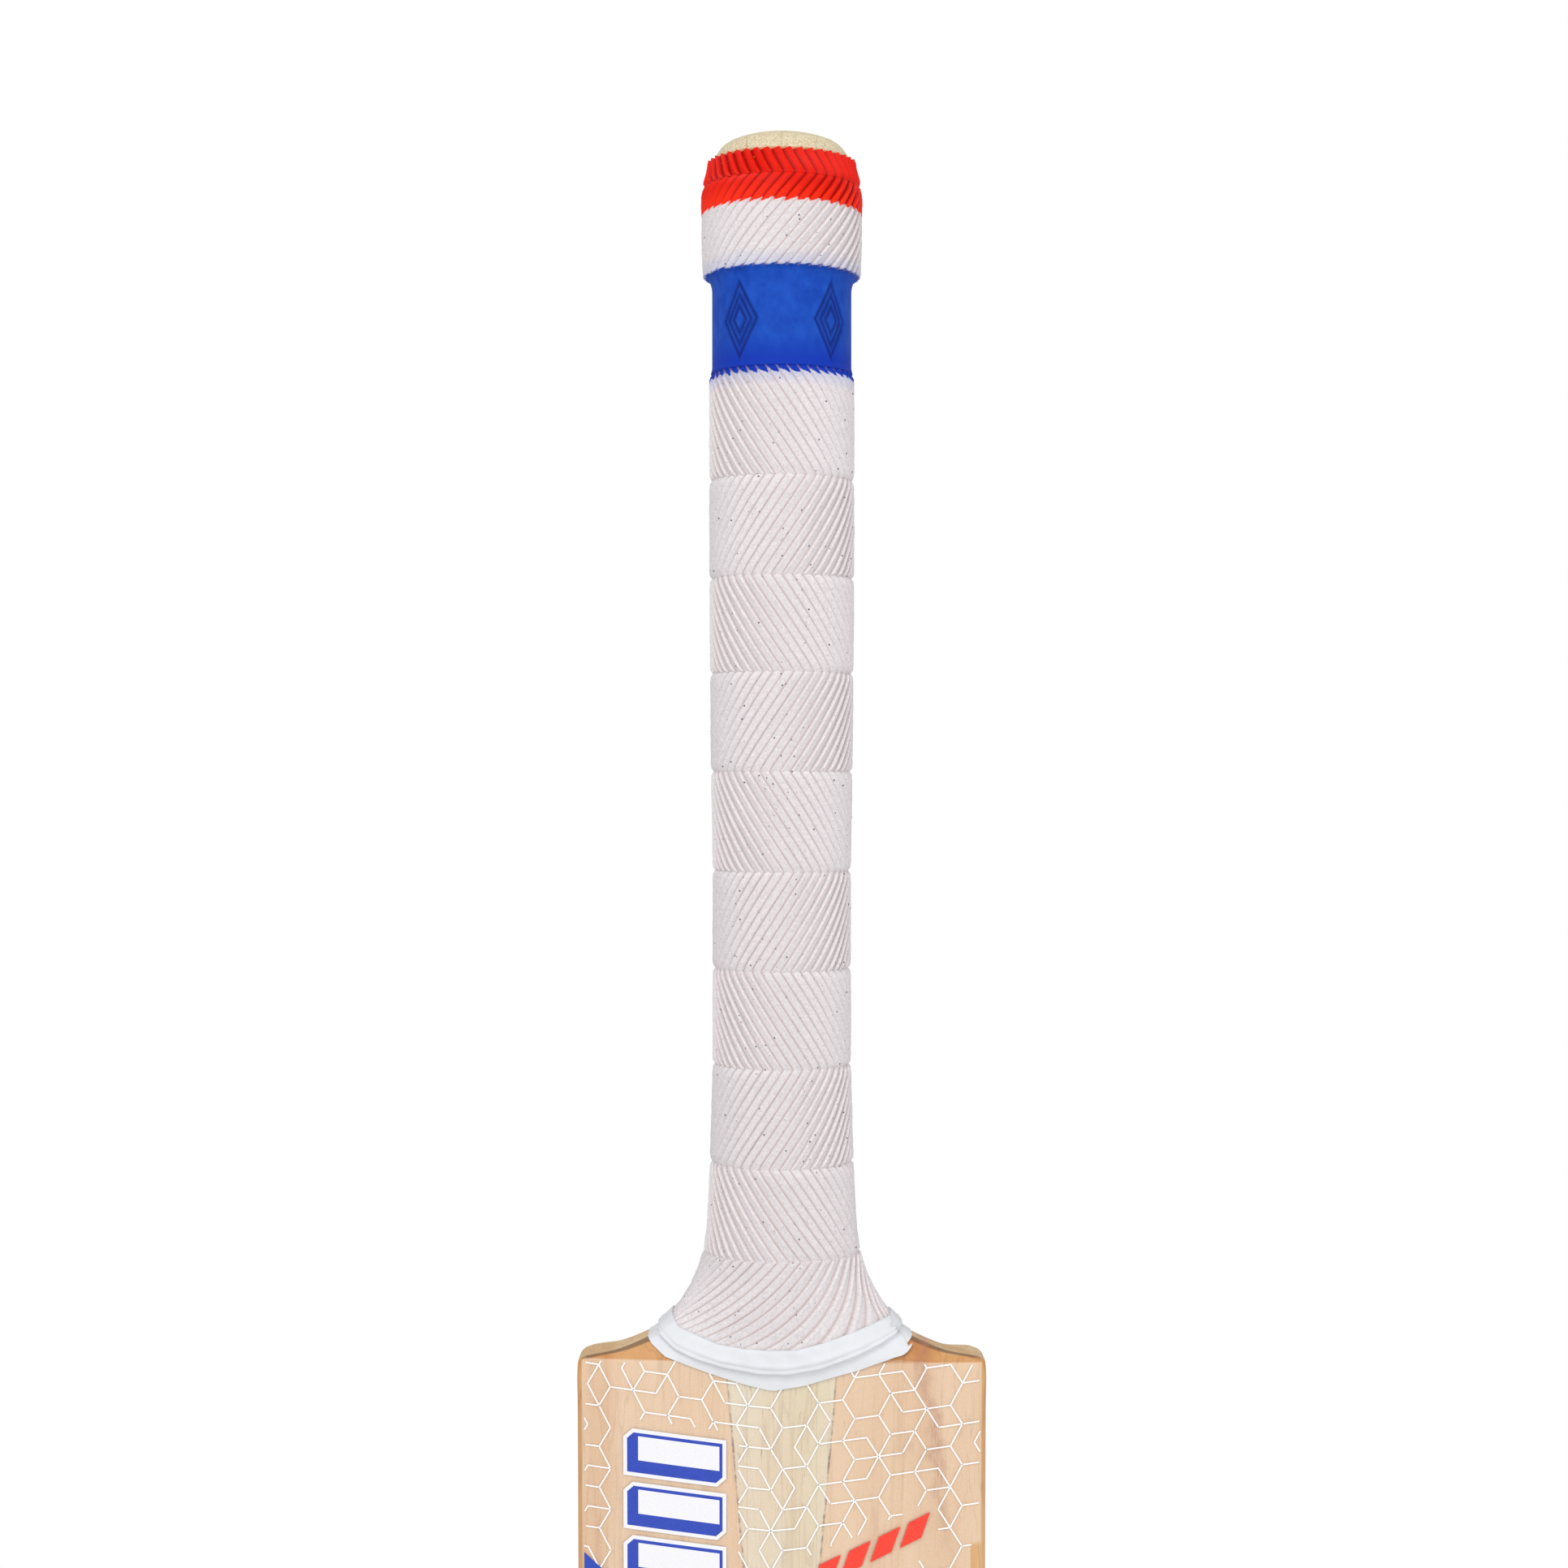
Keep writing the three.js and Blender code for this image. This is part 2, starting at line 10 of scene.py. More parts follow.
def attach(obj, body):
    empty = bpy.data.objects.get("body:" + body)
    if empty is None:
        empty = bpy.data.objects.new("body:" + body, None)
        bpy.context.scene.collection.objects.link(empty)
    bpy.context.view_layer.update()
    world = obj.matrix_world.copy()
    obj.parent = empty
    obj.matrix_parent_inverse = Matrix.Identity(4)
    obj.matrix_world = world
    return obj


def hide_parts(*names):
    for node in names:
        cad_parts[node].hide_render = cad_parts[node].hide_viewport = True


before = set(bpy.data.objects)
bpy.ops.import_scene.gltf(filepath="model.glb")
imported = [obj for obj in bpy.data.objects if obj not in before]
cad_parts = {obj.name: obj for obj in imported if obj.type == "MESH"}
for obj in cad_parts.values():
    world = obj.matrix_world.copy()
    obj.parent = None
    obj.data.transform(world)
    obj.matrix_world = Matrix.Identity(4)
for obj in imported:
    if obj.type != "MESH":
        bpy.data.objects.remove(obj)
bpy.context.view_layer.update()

# ---- sizes in millimetres, measured from the handle's line (x, y) and the toe (z) -----------------------
BLADE_LENGTH = 560.0
LENGTH = 885.0
HANDLE_Y = -8.5  # the handle's line in the row frame
TOE_HALF = 54.0  # half the blade's width at the toe, above its rounded corners
SHOULDER_HALF = 53.7
HANDLE_R = 15.9  # bare cane
KNOB_R = 18.2
KNOB_START = LENGTH - 44
KNOB_SHOULDER = LENGTH - 9  # where the dome on top of the handle begins
DOME_TOP = LENGTH - 0.9
FACE_Y = -16.5  # the middle of the face at the shoulder
LEAN = 14.0  # how far the toe lies behind the shoulder
BOW = 6.0  # how far the middle of the blade's length lies behind the line from toe to shoulder
CROWN = 2.6  # how far the face falls back from its middle to its edges
TOE_ROUND = 20.0
TOE_FLAT = 34.0
TIP = 399.0  # the point of the splice
SLOPE = 0.086
SLIP = 9.1  # width of an inner cane slip
MIDDLE = 4.85  # half the depth of the middle layer of slips
SPRING = 2.0
SHEET_HALF = 52.3
SHEET_TOP = 559.0
SHEET_BOTTOM = 9
NOTCH_TOP, NOTCH_BOTTOM, NOTCH_DEEP = 511.0, 430.0, 2.6  # the cut-out in the sheet's right edge


def pchip(pairs):
    """A smooth curve through pairs that never overshoots them."""
    x = np.array([p[0] for p in pairs], float)
    y = np.array([p[1] for p in pairs], float)
    h = np.diff(x)
    d = np.diff(y) / h
    m = np.zeros(len(x))
    m[0], m[-1] = d[0], d[-1]
    for i in range(1, len(x) - 1):
        if d[i - 1] * d[i] > 0:
            a, b = 2 * h[i] + h[i - 1], h[i] + 2 * h[i - 1]
            m[i] = (a + b) / (a / d[i - 1] + b / d[i])

    def at(q):
        q = np.clip(np.asarray(q, float), x[0], x[-1])
        i = np.clip(np.searchsorted(x, q) - 1, 0, len(h) - 1)
        t = (q - x[i]) / h[i]
        a = (1 + 2 * t) * (1 - t) ** 2 * y[i] + t * t * (3 - 2 * t) * y[i + 1]
        return a + h[i] * (t * (1 - t) ** 2 * m[i] + t * t * (t - 1) * m[i + 1])

    return at


def smooth(q, a, b):
    t = np.clip((np.asarray(q, float) - a) / (b - a), 0, 1)
    return t * t * (3 - 2 * t)


sweep = pchip([
    (BLADE_LENGTH - 6, SHOULDER_HALF),
    (BLADE_LENGTH - 1.6, SHOULDER_HALF - 0.2),
    (BLADE_LENGTH - 0.6, SHOULDER_HALF - 0.9),
    (BLADE_LENGTH, SHOULDER_HALF - 2.5),
    (BLADE_LENGTH + 0.6, 48),
    (BLADE_LENGTH + 1.2, 45),
    (BLADE_LENGTH + 2.1, 42),
    (BLADE_LENGTH + 3.6, 38.2),
    (BLADE_LENGTH + 5.6, 34),
    (BLADE_LENGTH + 10, 27.8),
    (BLADE_LENGTH + 16, 23),
    (BLADE_LENGTH + 24, 19.6),
    (BLADE_LENGTH + 36, 17.1),
    (BLADE_LENGTH + 60, 15.5),
    (BLADE_LENGTH + 110, 15),
    (BLADE_LENGTH + 170, 15.5),
    (BLADE_LENGTH + 230, HANDLE_R),
    (KNOB_START, HANDLE_R),
    (KNOB_START + 5, KNOB_R - 0.3),
    (KNOB_START + 9, KNOB_R),
    (KNOB_SHOULDER, KNOB_R),
    (LENGTH - 6.7, KNOB_R - 1.2),
    (LENGTH - 4.8, KNOB_R - 3),
    (LENGTH - 3.3, KNOB_R - 6.6),
    (LENGTH - 2.3, KNOB_R - 10.4),
    (LENGTH - 1.5, KNOB_R - 14),
    (DOME_TOP, KNOB_R - 17.2),
])
edge_depth = pchip([(0, 17), (40, 23), (110, 34), (190, 38), (270, 37), (370, 31), (470, 25), (560, 21)])
spine_depth = pchip([
    (0, 22), (40, 33), (110, 51), (190, 61), (270, 60), (350, 51), (420, 41), (480, 36), (560, 33.5),
])


def half_width(z):
    if z >= BLADE_LENGTH - 6:
        return float(sweep(z))
    taper = TOE_HALF + (SHOULDER_HALF - TOE_HALF) * float(smooth(z, 300, BLADE_LENGTH - 6))
    if z >= TOE_ROUND:
        return taper
    drop = 1 - z / TOE_ROUND
    return TOE_FLAT + (taper - TOE_FLAT) * math.sqrt(max(0.0, 1 - drop * drop))


def face_y(z):
    t = min(z, BLADE_LENGTH) / BLADE_LENGTH
    return FACE_Y + LEAN * (1 - t) + BOW * 4 * t * (1 - t)


FACE_N, CORNER_N, SIDE_N, ROUND_N, BACK_N = 30, 6, 6, 7, 30
ANGLES = np.radians(np.concatenate([
    np.linspace(0, 56, FACE_N, endpoint=False),
    np.linspace(56, 80, CORNER_N, endpoint=False),
    np.linspace(80, 98, SIDE_N, endpoint=False),
    np.linspace(98, 118, ROUND_N, endpoint=False),
    np.linspace(118, 180, BACK_N + 1),
]))
HALF_N = len(ANGLES)
RING_N = 2 * HALF_N - 2


def blade_half(z, w):
    """The blade's outline from the middle of the face round the right edge to the middle of the back."""
    front, edge, spine = face_y(z), float(edge_depth(z)), float(spine_depth(z))
    sharp = 1 - 0.75 * float(smooth(z, BLADE_LENGTH - 14, BLADE_LENGTH - 2))
    rf = 2.6 * sharp
    rb = 7.0

    def face_at(x):
        return front + CROWN * (x / w) ** 2

    def back_at(x):
        t = 1 - x / w
        return front + edge + (spine - edge) * (0.5 * t + 0.25 * (1 - np.cos(np.pi * t)))

    x = np.linspace(0, w - rf, FACE_N, endpoint=False)
    parts = [np.column_stack([x, face_at(x)])]
    a = np.linspace(0, np.pi / 2, CORNER_N, endpoint=False)
    low = face_at(w - rf) + rf
    parts.append(np.column_stack([w - rf + rf * np.sin(a), low - rf * np.cos(a)]))
    high = back_at(w - rb) - rb
    parts.append(np.column_stack([np.full(SIDE_N, w), np.linspace(low, high, SIDE_N, endpoint=False)]))
    a = np.linspace(0, np.pi / 2, ROUND_N, endpoint=False)
    parts.append(np.column_stack([w - rb + rb * np.cos(a), high + rb * np.sin(a)]))
    x = np.linspace(w - rb, 0, BACK_N + 1)
    parts.append(np.column_stack([x, back_at(x)]))
    return np.vstack(parts)


def depth(z):
    if z > KNOB_START:
        return half_width(z)
    return -FACE_Y + (HANDLE_R + FACE_Y) * float(smooth(z, BLADE_LENGTH, BLADE_LENGTH + 60))


def wood_half(z):
    w = half_width(z)
    k = float(smooth(z, BLADE_LENGTH - 7, BLADE_LENGTH + 26))
    if k >= 1:
        blade = 0
    else:
        blade = blade_half(z, w)
    r = depth(z)
    return (1 - k) * blade + k * np.column_stack([w * np.sin(ANGLES), -r * np.cos(ANGLES)])


def whole(half):
    """Both sides of an outline, once round from the middle of the face."""
    return np.vstack([half, half[-2:0:-1] * [-1, 1]])


class Outlines:
    """The wood's outline between two heights, tabled so that every point may have a height of its own."""

    def __init__(self, low, high, step=0.1):
        self.z = np.arange(low, high + step, step)
        self.rings = np.stack([whole(wood_half(z)) for z in self.z])
        self.middle = (self.rings[:, 0, 1] + self.rings[:, HALF_N - 1, 1]) / 2
        self.deep = (self.rings[:, HALF_N - 1, 1] - self.rings[:, 0, 1]) / 2
        self.wide = self.rings[:, :, 0].max(axis=1)

    def at(self, z, place, grow):
        """Points at heights z and fractional ring places, on the outline moved out by grow."""
        k = np.clip((z - self.z[0]) / (self.z[1] - self.z[0]), 0, len(self.z) - 1.001)
        lo = k.astype(int)
        t = (k - lo)[:, None]
        i = np.floor(place).astype(int) % RING_N
        j = (i + 1) % RING_N
        u = (place - np.floor(place))[:, None]
        near = self.rings[lo, i] * (1 - u) + self.rings[lo, j] * u
        far = self.rings[lo + 1, i] * (1 - u) + self.rings[lo + 1, j] * u
        p = near * (1 - t) + far * t
        middle = np.interp(z, self.z, self.middle)
        x = p[:, 0] * (1 + 0.8 * grow / np.interp(z, self.z, self.wide))
        y = middle + (p[:, 1] - middle) * (1 + 1.15 * grow / np.interp(z, self.z, self.deep))
        return np.column_stack([x, y, z])

    def crossing(self, line, place, grow, low, high):
        """Where a sagging line crosses the surface moved out by grow, at each ring place."""
        a = np.full(len(place), float(low))
        b = np.full(len(place), float(high))
        for _ in range(26):
            z = (a + b) / 2
            below = z < line(self.at(z, place, grow)[:, 0])
            a, b = np.where(below, z, a), np.where(below, b, z)
        return self.at(a, place, grow)


shoulder = Outlines(540, 612)
FULL_ANGLES = np.concatenate([ANGLES, 2 * np.pi - ANGLES[-2:0:-1], [2 * np.pi]])


def place_of(angle):
    """The ring place that faces an angle, counted from the middle of the face."""
    return np.interp(np.mod(angle, 2 * np.pi), FULL_ANGLES, np.arange(RING_N + 1))


# ---- mesh helpers ---------------------------------------------------------------------------------------
def sink(co):
    """How far the shoulder falls away towards the back; it falls a little more on the right."""
    at_shoulder = smooth(co.z, 553, 558) * (1 - smooth(co.z, 568, 590))
    inside_corners = 1 - 0.7 * smooth(abs(co.x), 42, 51)
    steepness = 0.058 + 0.0006 * co.x
    return float(at_shoulder * inside_corners) * max(0.0, co.y - FACE_Y) * steepness


def finish_mesh(name, bm, materials, nodes, sharp):
    """Makes a mesh into a piece that replaces CAD nodes; edges over sharp degrees stay hard."""
    for v in bm.verts:
        v.co = Vector((v.co.x, v.co.y + HANDLE_Y, v.co.z - sink(v.co))) / 1000
    bmesh.ops.recalc_face_normals(bm, faces=bm.faces)
    mesh = bpy.data.meshes.new(name)
    bm.to_mesh(mesh)
    bm.free()
    for f in mesh.polygons:
        f.use_smooth = True
    mesh.set_sharp_from_angle(angle=math.radians(sharp))
    for m in materials:
        mesh.materials.append(m)
    obj = bpy.data.objects.new(name, mesh)
    bpy.context.scene.collection.objects.link(obj)
    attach(obj, "root")
    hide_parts(*nodes)
    return obj


def add_grid(bm, points, closed=True, material=0):
    """A skin over rows of points; closed joins each row's end to its start. Returns the vertices."""
    rows = [[bm.verts.new(p) for p in row] for row in points]
    n = len(rows[0])
    for a, b in zip(rows, rows[1:]):
        for i in range(n if closed else n - 1):
            j = (i + 1) % n
            bm.faces.new((a[i], a[j], b[j], b[i])).material_index = material
    return rows


def wood_skin(heights):
    """The whole bat's wood as one closed skin, with its front corners marked as rim."""
    bm = bmesh.new()
    rings = [np.column_stack([whole(wood_half(z)), np.full(RING_N, z)]) for z in heights]
    rim = bm.verts.layers.float.new("rim")
    rows = add_grid(bm, rings)
    for row in rows:
        for k in range(FACE_N, FACE_N + CORNER_N):
            row[k][rim] = 1.0
            row[-k][rim] = 1.0
    bm.faces.new(list(reversed(rows[0])))
    bm.faces.new(rows[-1])
    return bm


def keep(bm, point, normal):
    """Cuts away the side that normal points to, and closes the cut."""
    geometry = bm.verts[:] + bm.edges[:] + bm.faces[:]
    bmesh.ops.bisect_plane(bm, geom=geometry, dist=1e-4, plane_co=point, plane_no=normal, clear_outer=True)
    open_edges = [e for e in bm.edges if e.is_boundary]
    if open_edges:
        bmesh.ops.holes_fill(bm, edges=open_edges, sides=0)


def splice_half(z):
    """Half the width of the splice's V at a height."""
    return 0.9 + SLOPE * (z - TIP)


def heights_between(marks, step):
    """Heights about step apart that include every mark."""
    out = []
    for a, b in zip(marks, marks[1:]):
        n = max(1, int(round((b - a) / step)))
        out += list(np.linspace(a, b, n, endpoint=False))
    return out + [marks[-1]]


# ---- shader helpers -------------------------------------------------------------------------------------
class Shader:
    """Builds one node material; values named in millimetres come from object coordinates."""

    def __init__(self, name):
        self.material = bpy.data.materials.new(name)
        self.material.use_nodes = True
        self.tree = self.material.node_tree
        self.bsdf = self.tree.nodes["Principled BSDF"]
        place = self.tree.nodes.new("ShaderNodeTexCoord")
        self.mm = self.vector("MULTIPLY", place.outputs["Object"], (1000, 1000, 1000))
        split = self.tree.nodes.new("ShaderNodeSeparateXYZ")
        self.join(self.mm, split.inputs[0])
        self.x, self.y, self.z = split.outputs
        facing = self.tree.nodes.new("ShaderNodeSeparateXYZ")
        self.join(place.outputs["Normal"], facing.inputs[0])
        self.facing_back, self.facing_up = facing.outputs[1], facing.outputs[2]

    def join(self, value, socket):
        if isinstance(value, bpy.types.NodeSocket):
            self.tree.links.new(value, socket)
        elif value is not None:
            socket.default_value = value

    def math(self, operation, a, b=None, c=None):
        node = self.tree.nodes.new("ShaderNodeMath")
        node.operation = operation
        for i, v in enumerate((a, b, c)):
            self.join(v, node.inputs[i])
        return node.outputs[0]

    def product(self, first, *others):
        for value in others:
            first = self.math("MULTIPLY", first, value)
        return first

    def vector(self, operation, a, b):
        node = self.tree.nodes.new("ShaderNodeVectorMath")
        node.operation = operation
        self.join(a, node.inputs[0])
        self.join(b, node.inputs[1])
        return node.outputs[0]

    def noise(self, stretch, scale, detail, rough, distortion=0.0):
        node = self.tree.nodes.new("ShaderNodeTexNoise")
        self.join(self.vector("MULTIPLY", self.mm, stretch), node.inputs["Vector"])
        node.inputs["Scale"].default_value = scale
        node.inputs["Detail"].default_value = detail
        node.inputs["Roughness"].default_value = rough
        node.inputs["Distortion"].default_value = distortion
        return node.outputs["Fac"]

    def cells(self, scale):
        """Distance from the nearest of many scattered points."""
        node = self.tree.nodes.new("ShaderNodeTexVoronoi")
        self.join(self.mm, node.inputs["Vector"])
        node.inputs["Scale"].default_value = scale
        return node.outputs["Distance"]

    def ramp(self, value, stops):
        node = self.tree.nodes.new("ShaderNodeValToRGB")
        self.join(value, node.inputs[0])
        ramp = node.color_ramp
        while len(ramp.elements) < len(stops):
            ramp.elements.new(0.5)
        for element, (at, colour) in zip(ramp.elements, stops):
            element.position = at
            element.color = (*colour, 1)
        return node.outputs[0]

    def range(self, value, low, high, to_low=0.0, to_high=1.0):
        node = self.tree.nodes.new("ShaderNodeMapRange")
        for socket, v in zip(node.inputs, (value, low, high, to_low, to_high)):
            self.join(v, socket)
        return node.outputs[0]

    def mix(self, factor, a, b, blend="MIX"):
        node = self.tree.nodes.new("ShaderNodeMix")
        node.data_type = "RGBA"
        node.blend_type = blend
        self.join(factor, node.inputs[0])
        self.join(a if isinstance(a, bpy.types.NodeSocket) else (*a, 1), node.inputs[6])
        self.join(b if isinstance(b, bpy.types.NodeSocket) else (*b, 1), node.inputs[7])
        return node.outputs[2]

    def attribute(self, name):
        node = self.tree.nodes.new("ShaderNodeAttribute")
        node.attribute_name = name
        return node.outputs["Fac"]

    def bump(self, height, distance, strength):
        node = self.tree.nodes.new("ShaderNodeBump")
        node.inputs["Strength"].default_value = strength
        node.inputs["Distance"].default_value = distance / 1000
        self.join(height, node.inputs["Height"])
        self.join(node.outputs[0], self.bsdf.inputs["Normal"])

    def set(self, **values):
        for name, v in values.items():
            self.join(v, self.bsdf.inputs[name.replace("_", " ")])


def srgb(r, g, b):
    """A colour given as 0-255 screen values."""
    def one(v):
        v = v / 255
        return v / 12.92 if v <= 0.04045 else ((v + 0.055) / 1.055) ** 2.4
    return (one(r), one(g), one(b))


# ---- materials ------------------------------------------------------------------------------------------
def under_sheet(s):
    """1 where the face sheet covers the wood, 0 where the wood is bare."""
    front = s.range(s.facing_back, -0.5, -0.8)
    between_edges = s.range(s.math("ABSOLUTE", s.x), SHEET_HALF, SHEET_HALF + 0.3, 1, 0)
    tilted = s.math("MULTIPLY_ADD", s.x, 0.0105, s.z)
    below_top = s.range(tilted, SHEET_TOP - 0.2, SHEET_TOP + 0.2, 1, 0)
    notch_right = s.range(s.x, SHEET_HALF - NOTCH_DEEP - 0.2, SHEET_HALF - NOTCH_DEEP + 0.1)
    notch_low = s.range(s.z, NOTCH_BOTTOM, NOTCH_BOTTOM + 1.5)
    notch_high = s.range(s.z, NOTCH_TOP, NOTCH_TOP - 1.5)
    notch = s.product(notch_right, notch_low, notch_high)
    return s.product(front, between_edges, below_top, s.math("SUBTRACT", 1.0, notch))


def wood_material(name, bare, covered, shade, streak, dashes, stain_depth):
    """Straight-grained wood, bare or covered by the face sheet; the last two are strengths."""
    s = Shader(name)
    near_top = s.range(s.z, 554, 558.5)
    tone = s.mix(near_top, bare, srgb(206, 153, 96))
    # painted light: near the shoulder, faces that look upward are painted paler, as if lit from above
    painted_top_light = s.product(near_top, s.range(s.facing_up, 0.6, 0.85))
    tone = s.mix(painted_top_light, tone, srgb(220, 190, 142))
    sheltered = under_sheet(s)
    tone = s.mix(sheltered, tone, covered)
    calm = s.range(sheltered, 0, 1, 1.0, 0.6)
    broad = s.noise((0.09, 0.05, 0.006), 1.0, 3, 0.55, 0.4)
    colour = s.mix(s.product(s.range(broad, 0.42, 0.72), calm), tone, shade, "MULTIPLY")
    blush = s.noise((0.05, 0.05, 0.02), 1.0, 2, 0.5)
    colour = s.mix(s.range(blush, 0.5, 0.75, 0, 0.5), colour, srgb(255, 232, 222), "MULTIPLY")
    rings = s.noise((0.22, 0.1, 0.011), 1.0, 2, 0.5, 0.9)
    line = s.ramp(rings, [(0.465, (0, 0, 0)), (0.5, (1, 1, 1)), (0.515, (0, 0, 0))])
    colour = s.mix(s.product(line, s.range(sheltered, 0, 1, 0.4, 0.22)), colour, streak)
    fibres = s.noise((4.0, 4.0, 0.09), 1.0, 4, 0.65)
    colour = s.mix(s.product(s.range(fibres, 0.54, 0.78, 0, 0.4), calm), colour, streak)
    flecks = s.noise((2.6, 2.6, 0.16), 1.0, 2, 0.5)
    colour = s.mix(s.range(flecks, 0.66, 0.74, 0, dashes), colour, streak)
    colour = s.mix(glue_line(s), colour, srgb(92, 62, 34))
    # painted shade: a dark line on the rounded front corners at the top of the blade, where the face turns
    # over
    edge = s.product(s.attribute("rim"), s.range(s.z, 559.0, 559.8), 0.75)
    colour = s.mix(edge, colour, srgb(96, 56, 26))
    stain_x, stain_z, stain_tilt = 39, 548, 0.12
    stain_middle = s.math("MULTIPLY_ADD", s.z, -stain_tilt, stain_x + stain_tilt * stain_z)
    wander = s.math("MULTIPLY_ADD", s.noise((0.1, 0.1, 0.14), 1.0, 2, 0.5), 8.0, -4.0)
    stain_off = s.math("ABSOLUTE", s.math("SUBTRACT", s.math("ADD", s.x, wander), stain_middle))
    stain_near = s.range(stain_off, 0.3, 2.4, stain_depth, 0)
    stain = s.product(stain_near, s.range(s.z, 505, 530), s.range(fibres, 0.3, 0.6))
    colour = s.mix(stain, colour, srgb(170, 112, 84))
    s.set(Base_Color=colour, Roughness=s.range(fibres, 0.3, 0.7, 0.46, 0.62))
    s.bump(fibres, 0.06, 0.5)
    return s.material


def glue_line(s):
    """The broken dark line along each side of the splice."""
    wall = s.math("MULTIPLY_ADD", s.z, SLOPE, 0.9 - SLOPE * TIP)
    off = s.math("ABSOLUTE", s.math("SUBTRACT", s.math("ABSOLUTE", s.x), wall))
    near = s.range(off, 0.14, 0.42, 1, 0)
    dots = s.noise((0.5, 0.5, 0.4), 1.0, 3, 0.7)
    above_tip = s.range(s.z, TIP - 1, TIP + 1)
    on_blade = s.range(wall, 17, 19, 1, 0)
    return s.product(near, s.range(dots, 0.46, 0.6, 0.12, 0.85), above_tip, on_blade)


willow = wood_material(
    "willow", srgb(214, 170, 118), srgb(225, 195, 162), srgb(234, 212, 184), srgb(160, 106, 60), 0.25, 0.75)
cane = wood_material(
    "cane", srgb(228, 200, 150), srgb(222, 211, 188), srgb(242, 230, 196), srgb(140, 104, 62), 0.6, 0.0)


def end_grain_material():
    s = Shader("cane_end_grain")
    pores = s.cells(2.6)
    grain = s.noise((1, 1, 1), 1.8, 4, 0.6)
    dark, middle, pale = srgb(180, 158, 120), srgb(212, 198, 164), srgb(228, 217, 192)
    colour = s.ramp(grain, [(0.3, dark), (0.5, middle), (0.7, pale)])
    colour = s.mix(s.range(pores, 0.0, 0.28, 0.75, 0), colour, srgb(160, 120, 76))
    s.set(Base_Color=colour, Roughness=0.8)
    s.bump(grain, 0.15, 0.6)
    return s.material


cane_end = end_grain_material()


def rubber_material(name, colour, spot):
    s = Shader(name)
    speck = s.noise((1, 1, 1), 3.0, 3, 0.6)
    spotted = s.mix(s.range(speck, 0.45, 0.7), colour, spot)
    s.set(Base_Color=spotted, Roughness=s.range(speck, 0.3, 0.7, 0.65, 0.85))
    s.bump(speck, 0.05, 0.5)
    return s.material


black_rubber = rubber_material("toe_rubber", srgb(34, 32, 31), srgb(58, 54, 50))
spring_rubber = rubber_material("spring_rubber", srgb(48, 40, 34), srgb(70, 58, 48))


def twine_material():
    s = Shader("twine")
    lay = s.noise((2.5, 2.5, 2.5), 1.0, 3, 0.6)
    s.set(Base_Color=s.mix(lay, srgb(150, 112, 66), srgb(196, 160, 104)), Roughness=0.85)
    s.bump(lay, 0.1, 0.6)
    return s.material


twine = twine_material()

RED_END = 862.0  # the red end of the grip is above this height
SMOOTH_TOP = 845.0  # the smooth blue band
SMOOTH_BOTTOM = 819.0


def grip_material():
    s = Shader("grip_rubber")
    ridge = s.attribute("ridge")
    ragged = s.math("MULTIPLY_ADD", ridge, 1.3, -0.5)
    wander = s.math("MULTIPLY_ADD", s.noise((1, 1, 1), 0.5, 3, 0.6), 1.6, -0.8)
    level = s.math("ADD", s.math("ADD", s.z, ragged), wander)
    fine = s.noise((1, 1, 1), 1.5, 4, 0.65)
    white = s.mix(s.range(fine, 0.35, 0.65), srgb(213, 206, 207), srgb(230, 223, 224))
    dust = s.noise((1, 1, 1), 2.4, 1, 0.3)
    white = s.mix(s.range(dust, 0.73, 0.77, 0, 0.7), white, srgb(120, 92, 84))
    specks = s.cells(0.33)
    white = s.mix(s.range(specks, 0.07, 0.105, 0.85, 0), white, srgb(58, 58, 84))
    blue_fine = s.noise((1, 1, 0.7), 0.3, 4, 0.6)
    blue = s.mix(s.range(blue_fine, 0.35, 0.7), srgb(8, 62, 166), srgb(22, 80, 184))
    blue = s.mix(s.range(s.z, SMOOTH_BOTTOM + 9, SMOOTH_BOTTOM + 2), blue, srgb(3, 50, 168))
    red = s.mix(fine, srgb(216, 16, 3), srgb(240, 34, 8))
    red = s.mix(s.range(s.z, 867, 863.5, 0, 0.8), red, srgb(252, 44, 10))
    tint_top = s.range(level, SMOOTH_TOP + 0.4, SMOOTH_TOP + 4.5, 0.28, 0)
    tint_low = s.range(level, SMOOTH_BOTTOM - 5, SMOOTH_BOTTOM - 1.2, 0, 0.3)
    above_band = s.range(level, SMOOTH_TOP, SMOOTH_TOP + 0.3)
    below_band = s.range(level, SMOOTH_BOTTOM - 1, SMOOTH_BOTTOM - 1.3)
    tint = s.math("ADD", s.math("MULTIPLY", tint_top, above_band), s.math("MULTIPLY", tint_low, below_band))
    colour = s.mix(tint, white, srgb(90, 140, 215))
    in_blue = s.math("MULTIPLY", s.range(level, SMOOTH_BOTTOM - 1.4, SMOOTH_BOTTOM - 1.0),
                     s.range(level, SMOOTH_TOP + 0.5, SMOOTH_TOP + 0.1))
    colour = s.mix(in_blue, colour, blue)
    in_red = s.range(level, RED_END - 0.15, RED_END + 0.15)
    colour = s.mix(in_red, colour, red)
    # painted shade: the foot of each rib's steep flank is darkened, pinkish brown on the white rubber and
    # deep red on the red
    groove = s.attribute("groove")
    shade = s.mix(in_red, srgb(178, 156, 152), srgb(140, 10, 8))
    colour = s.mix(s.product(groove, s.range(in_red, 0, 1, 0.62, 0.85)), colour, shade)
    # painted shade: the lozenge lines pressed into the blue band are darkened in their dents
    emboss = s.attribute("emboss")
    colour = s.mix(s.math("MULTIPLY", emboss, 0.85), colour, srgb(6, 22, 100))
    s.set(Base_Color=colour, Roughness=s.range(in_red, 0, 1, 0.72, 0.45), Specular_IOR_Level=0.18)
    pits = s.noise((1, 1, 1), 2.2, 4, 0.7)
    s.bump(pits, 0.12, 0.6)
    return s.material


grip_rubber = grip_material()


